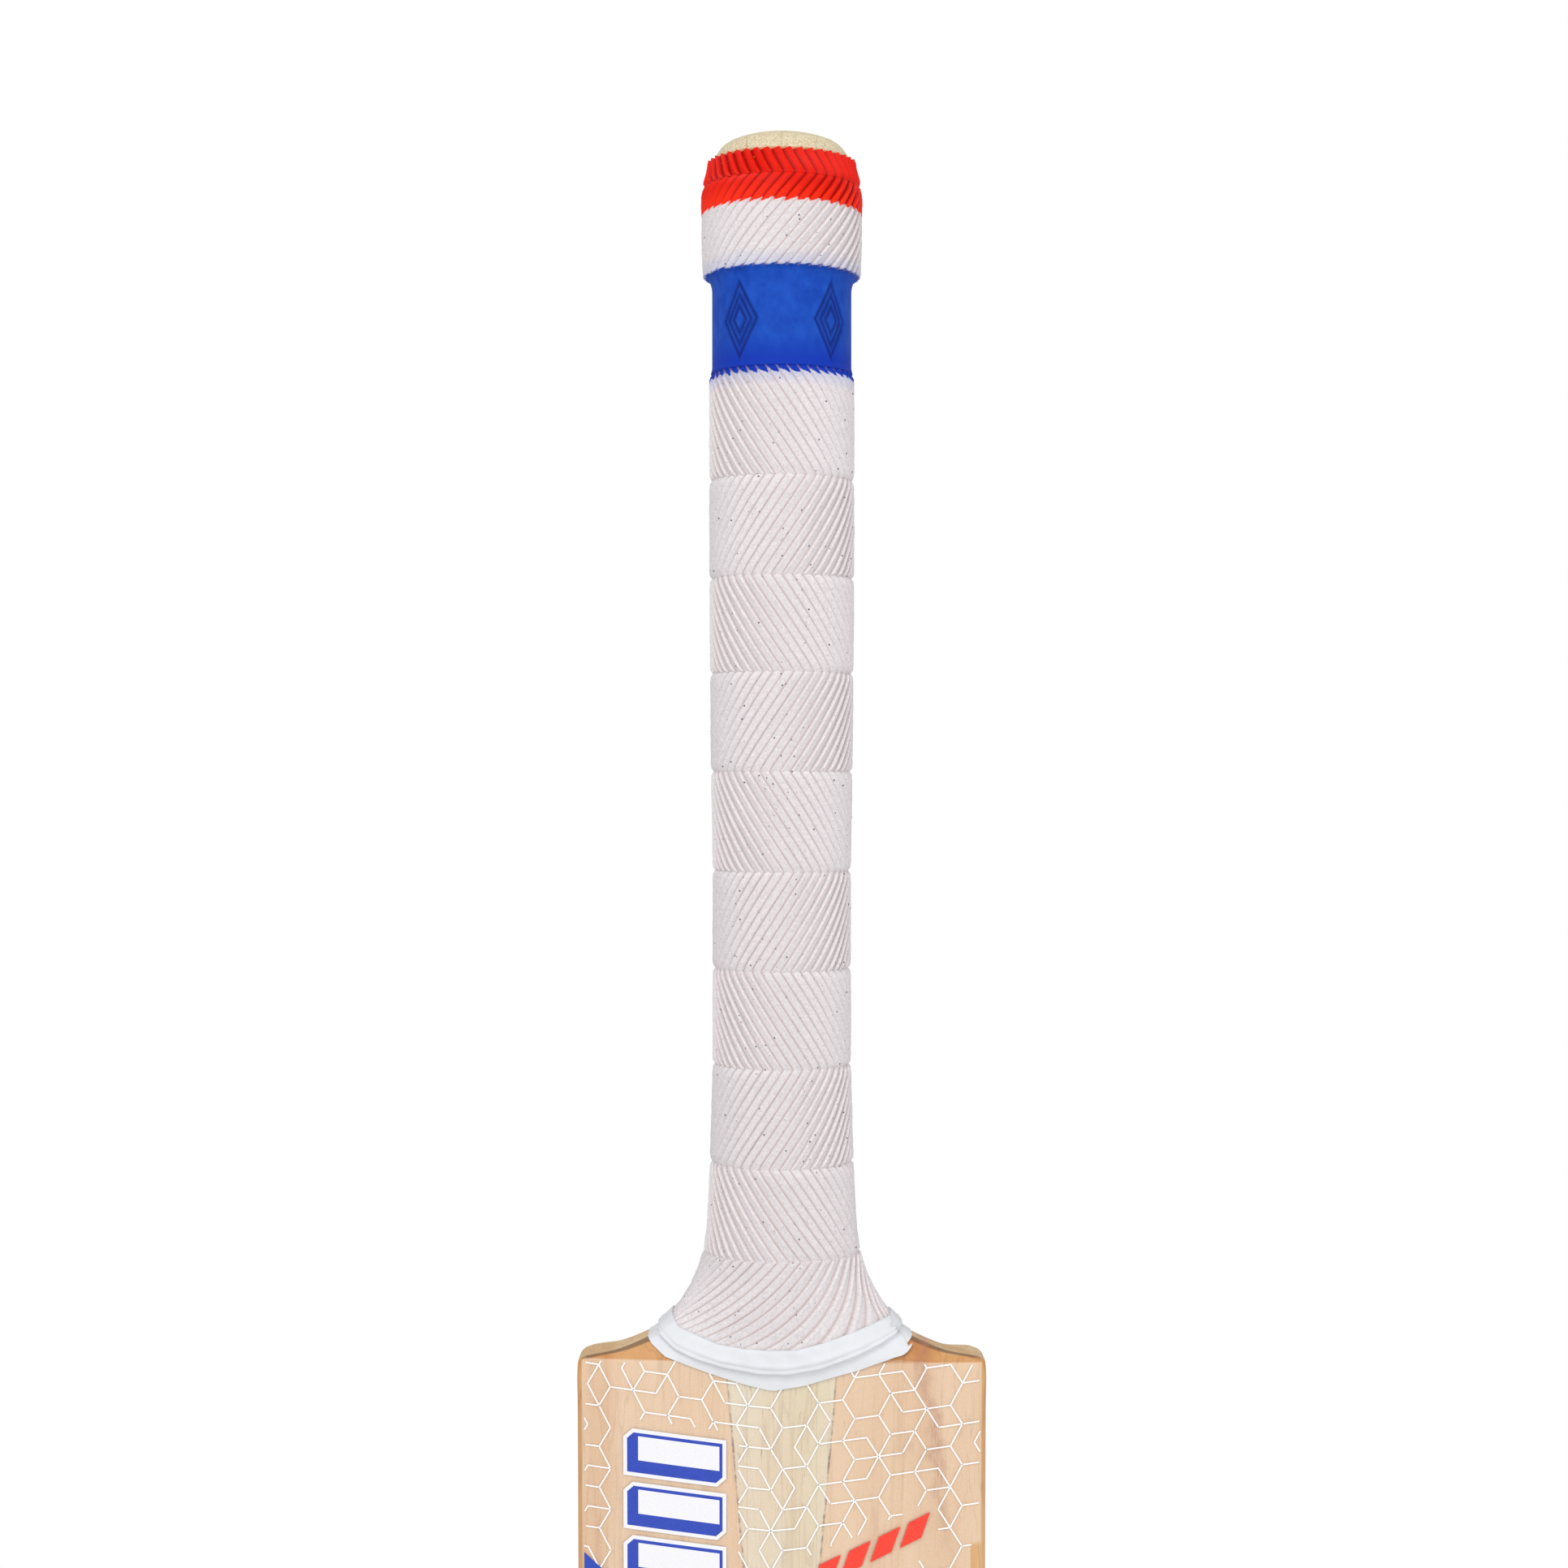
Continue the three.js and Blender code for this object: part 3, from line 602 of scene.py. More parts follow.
def tape_material():
    s = Shader("white_tape")
    weave_a = s.math("SINE", s.math("MULTIPLY", s.x, 14.0))
    weave_b = s.math("SINE", s.math("MULTIPLY", s.z, 14.0))
    weave = s.math("MULTIPLY", weave_a, weave_b)
    cloud = s.noise((1, 1, 1), 0.25, 3, 0.5)
    colour = s.mix(cloud, srgb(214, 216, 217), srgb(225, 226, 230))
    # painted shade from the shade attribute: along the tape's top edge and beside the cut end of its outer
    # turn
    colour = s.mix(s.math("MULTIPLY", s.attribute("shade"), 0.7), colour, srgb(158, 146, 136))
    s.set(Base_Color=colour, Roughness=0.55, Specular_IOR_Level=0.3)
    s.bump(weave, 0.02, 0.35)
    return s.material


white_tape = tape_material()


def film_material():
    s = Shader("clear_film")
    dust = s.noise((1, 1, 1), 3.2, 2, 0.5)
    colour = s.mix(s.range(dust, 0.62, 0.7, 0, 1), srgb(250, 236, 218), srgb(255, 250, 242))
    s.set(Base_Color=colour, Roughness=0.3, Alpha=s.range(dust, 0.6, 0.72, 0.15, 0.4))
    ripple = s.noise((0.35, 0.35, 0.12), 1.0, 3, 0.5)
    s.bump(ripple, 0.12, 0.4)
    return s.material


clear_film = film_material()


def ink_material(name, colour, deep):
    s = Shader(name)
    screen = s.noise((1, 1, 1), 4.0, 2, 0.5)
    s.set(Base_Color=s.mix(s.range(screen, 0.4, 0.6), colour, deep), Roughness=0.35)
    s.bump(screen, 0.01, 0.3)
    return s.material


white_ink = ink_material("white_ink", srgb(240, 239, 241), srgb(233, 232, 235))
lattice_ink = ink_material("lattice_ink", srgb(253, 251, 249), srgb(246, 243, 240))
blue_ink = ink_material("blue_vinyl", srgb(44, 74, 186), srgb(36, 62, 168))
red_ink = ink_material("red_vinyl", srgb(250, 68, 46), srgb(240, 52, 34))


# ---- blade ----------------------------------------------------------------------------------------------
TOE_HEIGHTS = list(TOE_ROUND * (1 - np.cos(np.linspace(0, np.pi / 2, 14))))
BLADE_HEIGHTS = TOE_HEIGHTS + heights_between([TOE_ROUND, 540, 553], 4)[1:]
BLADE_HEIGHTS += heights_between([553, 566], 0.5)[1:] + heights_between([566, 604], 1.5)[1:]


def build_blade():
    bm = wood_skin(BLADE_HEIGHTS)
    walls = []
    for side in (-1, 1):
        normal = Vector((side, 0, -SLOPE)).normalized()
        point = Vector((side * splice_half(TIP), 0, TIP))
        walls.append((point, normal))
        everything = bm.verts[:] + bm.edges[:] + bm.faces[:]
        bmesh.ops.bisect_plane(bm, geom=everything, dist=1e-4, plane_co=point, plane_no=normal)
    everything = bm.verts[:] + bm.edges[:] + bm.faces[:]
    bmesh.ops.bisect_plane(bm, geom=everything, dist=1e-4, plane_co=(0, 0, TIP), plane_no=(0, 0, 1))
    inside = []
    for f in bm.faces:
        c = f.calc_center_median()
        if c.z > TIP and abs(c.x) < splice_half(c.z) - 1e-3:
            inside.append(f)
    bmesh.ops.delete(bm, geom=inside, context="FACES")
    rim = [v for v in bm.verts if v.is_boundary]
    front_limit = -2.0  # the blade's front surface lies before this depth, its back behind it
    for point, normal in walls:
        on = [v for v in rim if abs((v.co - point).dot(normal)) < 0.01]
        front = sorted((v for v in on if v.co.y < front_limit), key=lambda v: v.co.z)
        back = sorted((v for v in on if v.co.y >= front_limit), key=lambda v: -v.co.z)
        if len(front) > 1 and len(back) > 1:
            bm.faces.new(front + back)
    return finish_mesh("blade_wood", bm, [willow], ["blade"], 34)


build_blade()

# ---- cane slips and rubber springs ----------------------------------------------------------------------
HANDLE_HEIGHTS = heights_between([395, 540, 553], 5) + heights_between([553, 566], 1)[1:]
HANDLE_HEIGHTS += heights_between([566, 610, 640], 3)[1:] + heights_between([640, KNOB_START], 20)[1:]
HANDLE_HEIGHTS += heights_between([KNOB_START, KNOB_START + 9], 1)[1:]
HANDLE_HEIGHTS += heights_between([KNOB_START + 9, KNOB_SHOULDER], 8)[1:]
HANDLE_HEIGHTS += heights_between([KNOB_SHOULDER, DOME_TOP], 0.5)[1:]
GAP = 0.02  # between glued pieces


def build_stick(name, x_range, y_range, materials):
    """A cane slip or rubber spring: the part of the spliced handle inside x_range and y_range."""
    bm = wood_skin(HANDLE_HEIGHTS)
    keep(bm, (0, 0, TIP), (0, 0, -1))
    for side in (-1, 1):
        keep(bm, (side * (splice_half(TIP) - GAP), 0, TIP), Vector((side, 0, -SLOPE)).normalized())
    for axis, (low, high) in ((0, x_range), (1, y_range)):
        for value, sign in ((low, -1), (high, 1)):
            if value is None:
                continue
            normal = Vector((0, 0, 0))
            normal[axis] = sign
            keep(bm, normal * (value * sign - GAP), normal)
    for f in bm.faces:
        if f.calc_center_median().z > KNOB_SHOULDER - 0.3:
            f.material_index = 1
    return finish_mesh(name + "_stick", bm, materials, [name], 34)


SPRING_OUT = MIDDLE + SPRING
LAYERS = {"front": (None, -SPRING_OUT), "middle": (-MIDDLE, MIDDLE), "back": (SPRING_OUT, None)}
COLUMNS = [(None, -SLIP), (-SLIP, 0), (0, SLIP), (SLIP, None)]
for layer, y_range in LAYERS.items():
    for i, x_range in enumerate(COLUMNS):
        build_stick(f"cane_slip_{layer}_{i + 1}", x_range, y_range, [cane, cane_end])
for layer, y_range in (("front", (-SPRING_OUT, -MIDDLE)), ("back", (MIDDLE, SPRING_OUT))):
    build_stick(f"rubber_spring_{layer}", (None, None), y_range, [spring_rubber, cane_end])

# ---- grip -----------------------------------------------------------------------------------------------
RIBS = 42
PER_RIB = 8
COLUMNS_N = RIBS * PER_RIB
GRIP_TOP = 875.5
BAND_R = 18.6  # the smooth band
# heights where the ribs change direction, and the two ends of the smooth band
CHEVRONS = [869.0, SMOOTH_TOP, SMOOTH_BOTTOM, 790.8, 764.7, 739.4, 713.3, 687.0, 661.0, 635.5, 609.5, 585.5]
RIB_HEIGHT = 1.0

grip_x = pchip([
    (556, 40.0), (566, 34.6), (568.4, 31.2), (570.5, 28.9), (572.8, 26.8), (577.1, 24.0), (581.4, 21.9),
    (585.7, 20.7), (590, 19.9), (594.5, 19.5), (609, 18.8), (640, 18.1), (681, 18.05), (724, 18.6),
    (767, 18.9), (819, 18.95),
])
grip_y = pchip([(556, 19.0), (566, 19.1), (580, 19.2), (600, 19.1), (640, 19.0), (819, 19.0)])


def piecewise(points):
    """A line over the face, as heights at distances to the right of the bat's middle."""
    x, z = zip(*points)
    return lambda q: np.interp(q, x, z)


# the tape's top edge, the step where its bulge ends, and its lower edge; the winding isn't even
tape_top = piecewise([
    (-33, 574), (-29.3, 571.5), (-27, 568.2), (-16.5, 564.3), (-10, 563.2), (-3, 562.7), (4, 562.9),
    (10.6, 564.6), (19.8, 567.6), (28.1, 570.7), (32, 573),
])
tape_step = piecewise([
    (-34, 570), (-32.6, 567), (-31.8, 565.4), (-28.3, 562.5), (-22.4, 560), (-15.3, 557.9), (-5.9, 556.1),
    (1.2, 555.9), (10.6, 557.5), (20.1, 561.1), (29.8, 566), (33, 569.5),
])
tape_low = piecewise([
    (-37, 568.5), (-35.1, 565), (-34, 563.5), (-30.5, 560.5), (-22.5, 557.5), (-15.4, 555.1), (-9.2, 553.2),
    (-3.5, 551.8), (-1.7, 551.7), (5.9, 553), (13, 555.1), (20.1, 557), (27.2, 559.8), (31.5, 562.2),
    (34, 565.1), (36, 568.5),
])


def between(upper, lower, share):
    return lambda x: upper(x) + (lower(x) - upper(x)) * share


grip_end = between(tape_top, tape_step, 0.75)


def grip_radius(z):
    """Radius of the ribbed rubber above the smooth band, and of the band itself."""
    if z > SMOOTH_TOP + 0.01:
        lean = 1.7 * float(smooth(z, 866, GRIP_TOP + 1))
        tuck = 0.4 * (1 - float(smooth(z, SMOOTH_TOP, SMOOTH_TOP + 9)))
        return 21.0 - lean - tuck
    t = (SMOOTH_TOP - z) / 4.2
    if t < 1:
        return BAND_R + 1.9 * (1 - math.sqrt(max(0.0, 1 - (1 - t) ** 2)))
    t = (z - SMOOTH_BOTTOM) / 2.0
    return BAND_R + 0.35 * float(1 - smooth(t, 0, 1))


def lozenge(s, z, s0, z0, a, b):
    """Distance from the outline of a lozenge with half-diagonals a and b."""
    return abs(abs(s - s0) / a + abs(z - z0) / b - 1) * (a * b / math.hypot(a, b))


def emboss_at(s, z):
    """Distance from the nearest line of the nested lozenges pressed into the smooth band."""
    best = 9.0
    for s0 in (-12.0, 14.5, 43.0, -41.0):
        for a, b in ((5.2, 9.6), (3.6, 6.6), (2.0, 3.6)):
            best = min(best, lozenge(s, z, s0, 831.5, a, b))
    return best


def grip_rows():
    """Each row: height, turn of the ribs, the side their steep flank is on, rib height and dip."""
    rows = []
    bounds = [GRIP_TOP] + CHEVRONS
    turn = 0.0
    for i, (top, bottom) in enumerate(zip(bounds, bounds[1:])):
        if top == SMOOTH_TOP:
            for z in np.linspace(top, bottom, 74)[1:-1]:
                rows.append((z, turn, 0, 0.0, 0.0))
            continue
        left = (i % 2 == 0) if i < 3 else (i % 2 == 1)
        rate = {0: 1.6, 1: 2.4}.get(i, 2.1)
        rate = math.radians(rate if left else -rate)
        steps = max(4, int((top - bottom) / 2.2))
        zs = np.linspace(top, bottom, steps + 1)
        inner = [top - 0.25, top - 0.9] + list(zs[1:-1]) + [bottom + 0.9, bottom + 0.25]
        heights = [top] + inner + [bottom]
        for z in heights:
            near = min(top - z if i else 9, z - bottom if bottom != SMOOTH_TOP else 9)
            amount = 0.35 + 0.65 * min(1.0, near / 0.8)
            deep = 1.35 if z >= RED_END else 1.0
            dip = 0.5 * max(0.0, 1 - near / 1.3)
            rows.append((z, turn + (top - z) * rate, 1 if left else -1, RIB_HEIGHT * amount * deep, dip))
        turn += (top - bottom) * rate
    return rows, turn


def rib_profile(t, way):
    """Sawtooth from 0 to 1: a slow climb and a steep fall on the side that way names."""
    t = t if way > 0 else 1 - t
    t = t % 1.0
    if t < 0.8:
        return (t / 0.8) ** 1.15
    return 1 - (t - 0.8) / 0.2


def uneven(rib, z):
    """Ribs vary a little in height from one to the next and along their length."""
    own = noise.noise(Vector((rib * 1.7, 0, 5)))
    along = noise.noise(Vector((rib * 2.3, z * 0.09, 1)))
    return 0.95 + 0.22 * own + 0.2 * along


def build_grip():
    bm = bmesh.new()
    layers = [bm.verts.layers.float.new(name) for name in ("ridge", "groove", "emboss")]
    rows, turn = grip_rows()
    low_rate = -math.radians(2.4)
    columns = np.arange(COLUMNS_N)
    phases = (columns % PER_RIB) / PER_RIB
    angles = 2 * np.pi * columns / COLUMNS_N
    ribs = columns // PER_RIB

    def ring(z, turned, way, height, dip=0.0):
        """One row of points: z, turned and height may differ from column to column."""
        z = np.broadcast_to(np.asarray(z, float), (COLUMNS_N,))
        height = np.broadcast_to(np.asarray(height, float), (COLUMNS_N,))
        a = angles + turned
        profile = np.array([rib_profile(t, way) for t in phases]) if way else np.zeros(COLUMNS_N)
        lift = height * np.array([uneven(r, h) for r, h in zip(ribs, z)]) * (profile - 0.45) - dip
        sharpness = 2.8 if z.max() > RED_END else 6
        groove = np.clip(1 - profile * sharpness, 0, 1) if way else np.zeros(COLUMNS_N)
        dent = np.zeros(COLUMNS_N)
        if not way:
            for c in columns:
                s = ((a[c] + np.pi) % (2 * np.pi) - np.pi) * BAND_R
                d = emboss_at(s, z[c])
                dent[c] = max(0.0, 1 - d / 0.75)
                fade = max(0.0, min(1.0, (SMOOTH_TOP - z[c]) / 3, (z[c] - SMOOTH_BOTTOM) / 2))
                lift[c] = fade * (0.25 * max(0.0, 1 - abs(d - 1.0) / 0.6) - 0.45 * dent[c])
        if z.max() > SMOOTH_BOTTOM + 0.01:
            r = np.array([grip_radius(h) for h in z]) + lift
            points = np.column_stack([r * np.sin(a), -r * np.cos(a), z])
        elif z.min() < 606:
            place = place_of(a)
            bare = shoulder.at(z, place, np.zeros(COLUMNS_N))
            wide, deep = np.interp(z, shoulder.z, shoulder.wide), np.interp(z, shoulder.z, shoulder.deep)
            middle = np.interp(z, shoulder.z, shoulder.middle)
            gx = np.maximum(grip_x(z), wide + 1.5) + lift
            gy = np.maximum(grip_y(z) + 0.5 * (deep + middle - 16.5), deep + 2.2) + lift
            points = np.column_stack([bare[:, 0] * gx / wide, middle + (bare[:, 1] - middle) * gy / deep, z])
        else:
            points = np.column_stack([(grip_x(z) + lift) * np.sin(a), -(grip_y(z) + lift) * np.cos(a), z])
        return points, profile, groove, dent

    grid = []
    for z, turned, way, height, dip in rows:
        ragged = 0.0
        if abs(z - GRIP_TOP) < 0.01 or 0 <= z - SMOOTH_TOP < 0.01:
            ragged = 0.6 * (np.array([rib_profile(t, way) for t in phases]) - 0.5)
        grid.append(ring(z + ragged, turned, way, height, dip))

    # the flared end, down to a line under the tape
    start = CHEVRONS[-1]
    high, low = np.full(COLUMNS_N, start), np.full(COLUMNS_N, 552.0)
    for _ in range(24):
        mid = (low + high) / 2
        a = angles + turn + (start - mid) * low_rate
        x = shoulder.at(mid, place_of(a), np.full(COLUMNS_N, 2.0))[:, 0]
        under = mid < grip_end(x)
        low, high = np.where(under, mid, low), np.where(under, high, mid)
    for t in [0.012, 0.045] + list(np.linspace(0, 1, 18)[1:]):
        z = start + (low - start) * t
        height = RIB_HEIGHT * np.minimum(1.0, 0.35 + 0.8 * (start - z))
        height = height * (1 - 0.85 * float(smooth(t, 0.74, 0.98)))
        grid.append(ring(z, turn + (start - z) * low_rate, -1, height))

    def rim(row, radius, drop):
        points = row[0] * (radius / np.hypot(row[0][:, 0], row[0][:, 1]))[:, None]
        points[:, 2] = row[0][:, 2] - drop
        flat = np.zeros(COLUMNS_N)
        return points, row[1], flat, flat

    edge = [rim(grid[0], KNOB_R + grow, drop) for grow, drop in ((0.15, 4.0), (0.3, 0.3), (0.6, 0.0))]
    previous = None
    for row in edge + grid:
        current = []
        for point, *marks in zip(*row):
            v = bm.verts.new(point)
            for layer, mark in zip(layers, marks):
                v[layer] = mark
            current.append(v)
        if previous:
            for i in range(COLUMNS_N):
                j = (i + 1) % COLUMNS_N
                bm.faces.new((previous[i], current[i], current[j], previous[j]))
        previous = current
    return finish_mesh("grip_sleeve", bm, [grip_rubber], ["grip"], 50)


build_grip()


# ---- twine binding --------------------------------------------------------------------------------------
TWINE_LOW, TWINE_TOP = 572.0, 873.5
TWINE_STEP = 1.1  # half the pitch of the turns


def build_twine():
    bm = bmesh.new()
    n = 96
    places = np.linspace(0, RING_N, n, endpoint=False).astype(int)
    rings = []
    for z in heights_between([TWINE_LOW, TWINE_TOP], TWINE_STEP):
        outline = whole(wood_half(z))[places]
        length = np.linalg.norm(outline, axis=1, keepdims=True)
        grow = 0.75 + 0.2 * math.cos(math.pi * (z - TWINE_LOW) / TWINE_STEP)
        rings.append(np.column_stack([outline * (1 + grow / length), np.full(n, z)]))
    add_grid(bm, rings)
    return finish_mesh("twine_winding", bm, [twine], ["twine_binding"], 60)


build_twine()


# ---- shoulder tape --------------------------------------------------------------------------------------
# rows from the top edge down: the share of the width, as in tape_row, and the height over the wood
TAPE_ROWS = [
    (0.0, 2.0), (0.0, 2.95), (0.03, 3.15), (0.15, 3.15), (0.3, 3.1), (0.45, 3.05), (0.56, 3.2), (0.63, 3.3),
    (0.7, 3.15), (0.77, 2.8), (0.83, 2.75), (0.89, 2.9), (0.94, 2.7), (0.98, 2.0), (1.02, 1.3), (1.08, 1.05),
    (1.2, 0.95), (1.4, 0.9), (1.6, 0.85), (1.8, 0.8), (2.0, 0.75), (2.0, 0.2),
]


def tape_row(share, grow, place):
    """Points of the tape at a share of its width: 0 is the top edge, 1 the step and 2 the lower edge."""
    line = between(tape_top, tape_step, share) if share <= 1 else between(tape_step, tape_low, share - 1)
    points = shoulder.crossing(line, place, np.full(len(place), float(grow)), 542, 586)
    if 0 < share < 2:
        for p in points:
            fold = noise.noise(Vector((p[0] * 0.22 + p[2] * 0.3, p[1] * 0.2, p[2] * 0.25)))
            fine = noise.noise(Vector((p[0] * 0.7 - p[2] * 0.9, p[1] * 0.7, p[2] * 0.5 + 9)))
            flat = math.hypot(p[0], p[1])
            p[:2] *= 1 + (0.3 * fold + 0.13 * fine) * (1 if share < 1 else 0.35) / flat
    return points


def build_tape():
    bm = bmesh.new()
    place = np.arange(0, RING_N, 0.5)
    shade = bm.verts.layers.float.new("shade")
    grid = add_grid(bm, [tape_row(share, grow, place) for share, grow in reversed(TAPE_ROWS)])
    # painted shade along the tape's top edge, against the grip
    for v in grid[-1]:
        v[shade] = 1.0
    add_tape_end(bm, shade)
    return finish_mesh("tape_band", bm, [white_tape], ["shoulder_tape"], 70)


def add_tape_end(bm, shade):
    """The outer turn of tape ends on the right in a cut with teeth."""
    cut_x = piecewise([(0, 28.1), (0.4, 28.6), (0.9, 30.5), (1.2, 30.8), (1.7, 31.8), (2, 32.6)])
    front = np.arange(0, HALF_N, 0.25)
    rows = []
    for share, grow in TAPE_ROWS[1:-1]:
        x = tape_row(share, grow, front)[:, 0]
        widest = int(np.argmax(x))
        teeth = 0.35 * math.sin(share * 23) + 0.2 * math.sin(share * 51 + 1)
        start, end = np.interp([14.0, float(cut_x(share)) + teeth], x[: widest + 1], front[: widest + 1])
        u = np.linspace(0, 1, 15)
        raise_by = -0.12 + 0.67 * np.minimum(1, u * 1.6)
        place = start + (end - start) * u
        lower = share + 0.45 * max(0.0, share - 1) * smooth(u, 0.2, 1)
        row = [tape_row(h, grow + r, np.array([q]))[0] for h, r, q in zip(lower, raise_by, place)]
        # the foot of the cut and a short strip beyond it on the turn below carry a painted shadow that fades
        # away from the cut
        row.append(tape_row(lower[-1], grow + 0.03, place[-1:])[0])
        row.append(tape_row(lower[-1], grow + 0.02, place[-1:] + 0.8)[0])
        rows.append(row)
    for row in add_grid(bm, rows, closed=False):
        row[-2][shade] = 1.0


build_tape()


# ---- toe guard ------------------------------------------------------------------------------------------
def guard_edge(x):
    """The guard's upper edge: level along the toe's flat and rising round its corners."""
    return 2.7 + 14.8 * np.clip((np.abs(x) - TOE_FLAT) / 19.0, 0, 1) ** 2


def build_toe_guard():
    bm = bmesh.new()
    toe = Outlines(0, 24)
    place = np.arange(RING_N, dtype=float)
    proud = np.full(RING_N, 0.12)
    tucked = np.full(RING_N, -0.6)
    edge = toe.crossing(guard_edge, place, proud, 0, 22)[:, 2]
    rows = [toe.at(edge * t, place, proud) for t in np.linspace(0, 1, 16)]
    rows.append(toe.at(edge + 0.15, place, tucked))
    grid = add_grid(bm, rows)
    bm.faces.new(list(reversed(grid[0])))
    return finish_mesh("toe_strip", bm, [black_rubber], ["toe_guard"], 34)


# ---- face sheet and stickers ----------------------------------------------------------------------------
def face_point(x, z, lift):
    """A point on the hitting face, lifted off the wood by lift."""
    half = wood_half(z)
    front = half[:FACE_N + CORNER_N]
    y = float(np.interp(abs(x), front[:, 0], front[:, 1]))
    return (x, y - lift, z)


def sheet_right(z):
    """The sheet's right edge, with its rounded cut-out."""
    inside = min(NOTCH_TOP - z, z - NOTCH_BOTTOM)
    if inside <= 0:
        return SHEET_HALF
    t = min(1.0, inside / NOTCH_DEEP)
    return SHEET_HALF - NOTCH_DEEP * math.sqrt(1 - (1 - t) ** 2)


def sheet_top(x):
    """The sheet's top edge: it runs just below the shoulder and goes under the tape in the middle."""
    places = [-SHEET_HALF, -20, 30, 38, SHEET_HALF]
    straight = float(np.interp(x, places, [559.4, 559.6, 559.5, 558.9, 558.3]))
    corner = max(0.0, abs(x) - SHEET_HALF + 1.2)
    return min(straight - corner, float(tape_low(x)) + 0.8)


SHEET_LIFT = 0.42  # the film's outer side over the wood
STRAIGHT_TOP = 548  # above this the sheet's rows bend to follow its top edge


def build_sheet():
    bm = bmesh.new()
    zs = [SHEET_BOTTOM, 12, 16, 23] + heights_between([30, 425], 6) + heights_between([426, 434], 0.5)
    zs += heights_between([438, 504], 6) + heights_between([506, 513], 0.35)
    zs += heights_between([516, STRAIGHT_TOP], 4)
    n = 56
    rows = []
    for z in zs:
        left, right = -SHEET_HALF, sheet_right(z)
        to_corner = 1 - min(1.0, (z - SHEET_BOTTOM) / 14)
        corner = 6 * (1 - math.sqrt(1 - to_corner ** 2))
        xs = np.linspace(left + corner, right - corner, n)
        rows.append([face_point(x, z, SHEET_LIFT) for x in xs])
    for t in np.linspace(0, 1, 9)[1:]:
        xs = np.linspace(-SHEET_HALF, SHEET_HALF, n)
        line = between(lambda x: STRAIGHT_TOP, sheet_top, t)
        rows.append([face_point(x, line(x), SHEET_LIFT) for x in xs])
    grid = add_grid(bm, rows, closed=False)
    rim = [grid[0][i] for i in range(n)] + [r[-1] for r in grid[1:]] + list(reversed(grid[-1]))[1:]
    rim += [r[0] for r in reversed(grid[1:-1])]
    under = [bm.verts.new((v.co.x, v.co.y + 0.3, v.co.z)) for v in rim]
    for i in range(len(rim)):
        j = (i + 1) % len(rim)
        bm.faces.new((rim[j], rim[i], under[i], under[j]))
    add_print(bm)
    inks = [clear_film, lattice_ink, blue_ink]
    return finish_mesh("printed_sheet", bm, inks, ["face_sheet"], 60)


LINE_WIDTH = 0.38
LINE_LIFT = 0.46


def ribbon(bm, a, b):
    """A printed line from a to b on the face, left out where it would run over the graphics."""
    a, b = np.array(a), np.array(b)
    length = np.linalg.norm(b - a)
    side = np.array([a[1] - b[1], b[0] - a[0]]) / length * LINE_WIDTH / 2
    previous = None
    for t in np.linspace(-0.02, 1.02, 11):
        p = a + (b - a) * t
        if not clear_of_graphics(*p):
            previous = None
            continue
        pair = [bm.verts.new(face_point(*q, LINE_LIFT)) for q in (p + side, p - side)]
        if previous:
            bm.faces.new((previous[0], previous[1], pair[1], pair[0])).material_index = 1
        previous = pair


PITCH = 6.28  # side of the printed hexagons
ROW = PITCH * math.sqrt(3) / 2
FOLD_X = -2.5  # the pattern is folded like a book along the middle of the blade
PANEL_CLEAR = (-44.5, -11.5)


def clear_of_graphics(x, z):
    """Whether a point is on the sheet and off the panel and the flash."""
    if PANEL_CLEAR[0] < x < PANEL_CLEAR[1] and z < 544.5 - 0.13 * (x + 44):
        return False
    along_flash = 512.3 + 0.47 * (x - 37.5)
    if 3 < x < 40.5 and along_flash - 5 < z < along_flash + 9:
        return False
    return -SHEET_HALF + 0.3 < x < sheet_right(z) - 0.2 and 12 < z < sheet_top(x) - 0.2


def lattice_point(i, j):
    """Corner of the printed lattice: i steps to the right and j steps down to the right."""
    x = 28.5 + (i + 0.5 * j) * PITCH
    z = 547.0 - j * ROW
    if x < FOLD_X:
        x = FOLD_X + (x - FOLD_X) * 0.955
    return x, z + 0.13 * (math.hypot(x - FOLD_X, 2.0) - 2.0)


AROUND = [(1, 0), (0, 1), (-1, 1), (-1, 0), (0, -1), (1, -1)]  # a hexagon's corners, clockwise from the right


def add_print(bm):
    """A honeycomb in which most cells hold a rhombus, drawn by two spokes a third of a turn apart."""
    picks = np.random.default_rng(11)
    for j in range(-4, 98):
        for i in range(-16 - j // 2, 8 - j // 2):
            if (i - j) % 3 != 2:
                continue
            corners = [lattice_point(i + a, j + b) for a, b in AROUND]
            for k in range(3):
                ribbon(bm, corners[k], corners[k + 1])
            turn = int(picks.integers(0, 8))
            if turn < 6:
                ribbon(bm, lattice_point(i, j), corners[turn])
                ribbon(bm, lattice_point(i, j), corners[(turn + 2) % 6])
    slash_left, slash_right = -SHEET_HALF + 0.4, -42.5
    for k in range(14):
        z = 508.0 - 34 * k
        upper = piecewise([(slash_left, z), (slash_right, z - 8.5)])
        lower = piecewise([(slash_left, z - 9), (slash_right, z - 17.5)])
        add_strip(bm, np.linspace(slash_left, slash_right, 6), upper, lower, 0.5, 2)


def add_strip(bm, xs, upper, lower, lift, material):
    """A printed area between two lines, in columns that follow the crown of the face. Returns its rim."""
    high, low = [[bm.verts.new(face_point(x, line(x), lift)) for x in xs] for line in (upper, lower)]
    for i in range(len(xs) - 1):
        bm.faces.new((high[i], high[i + 1], low[i + 1], low[i])).material_index = material
    return high + low[::-1]


def add_rim(bm, top, thick, material):
    """Walls from a rim of vertices back towards the wood."""
    base = [bm.verts.new(v.co + Vector((0, thick, 0))) for v in top]
    for i in range(len(top)):
        j = (i + 1) % len(top)
        bm.faces.new((top[j], top[i], base[i], base[j])).material_index = material


build_sheet()


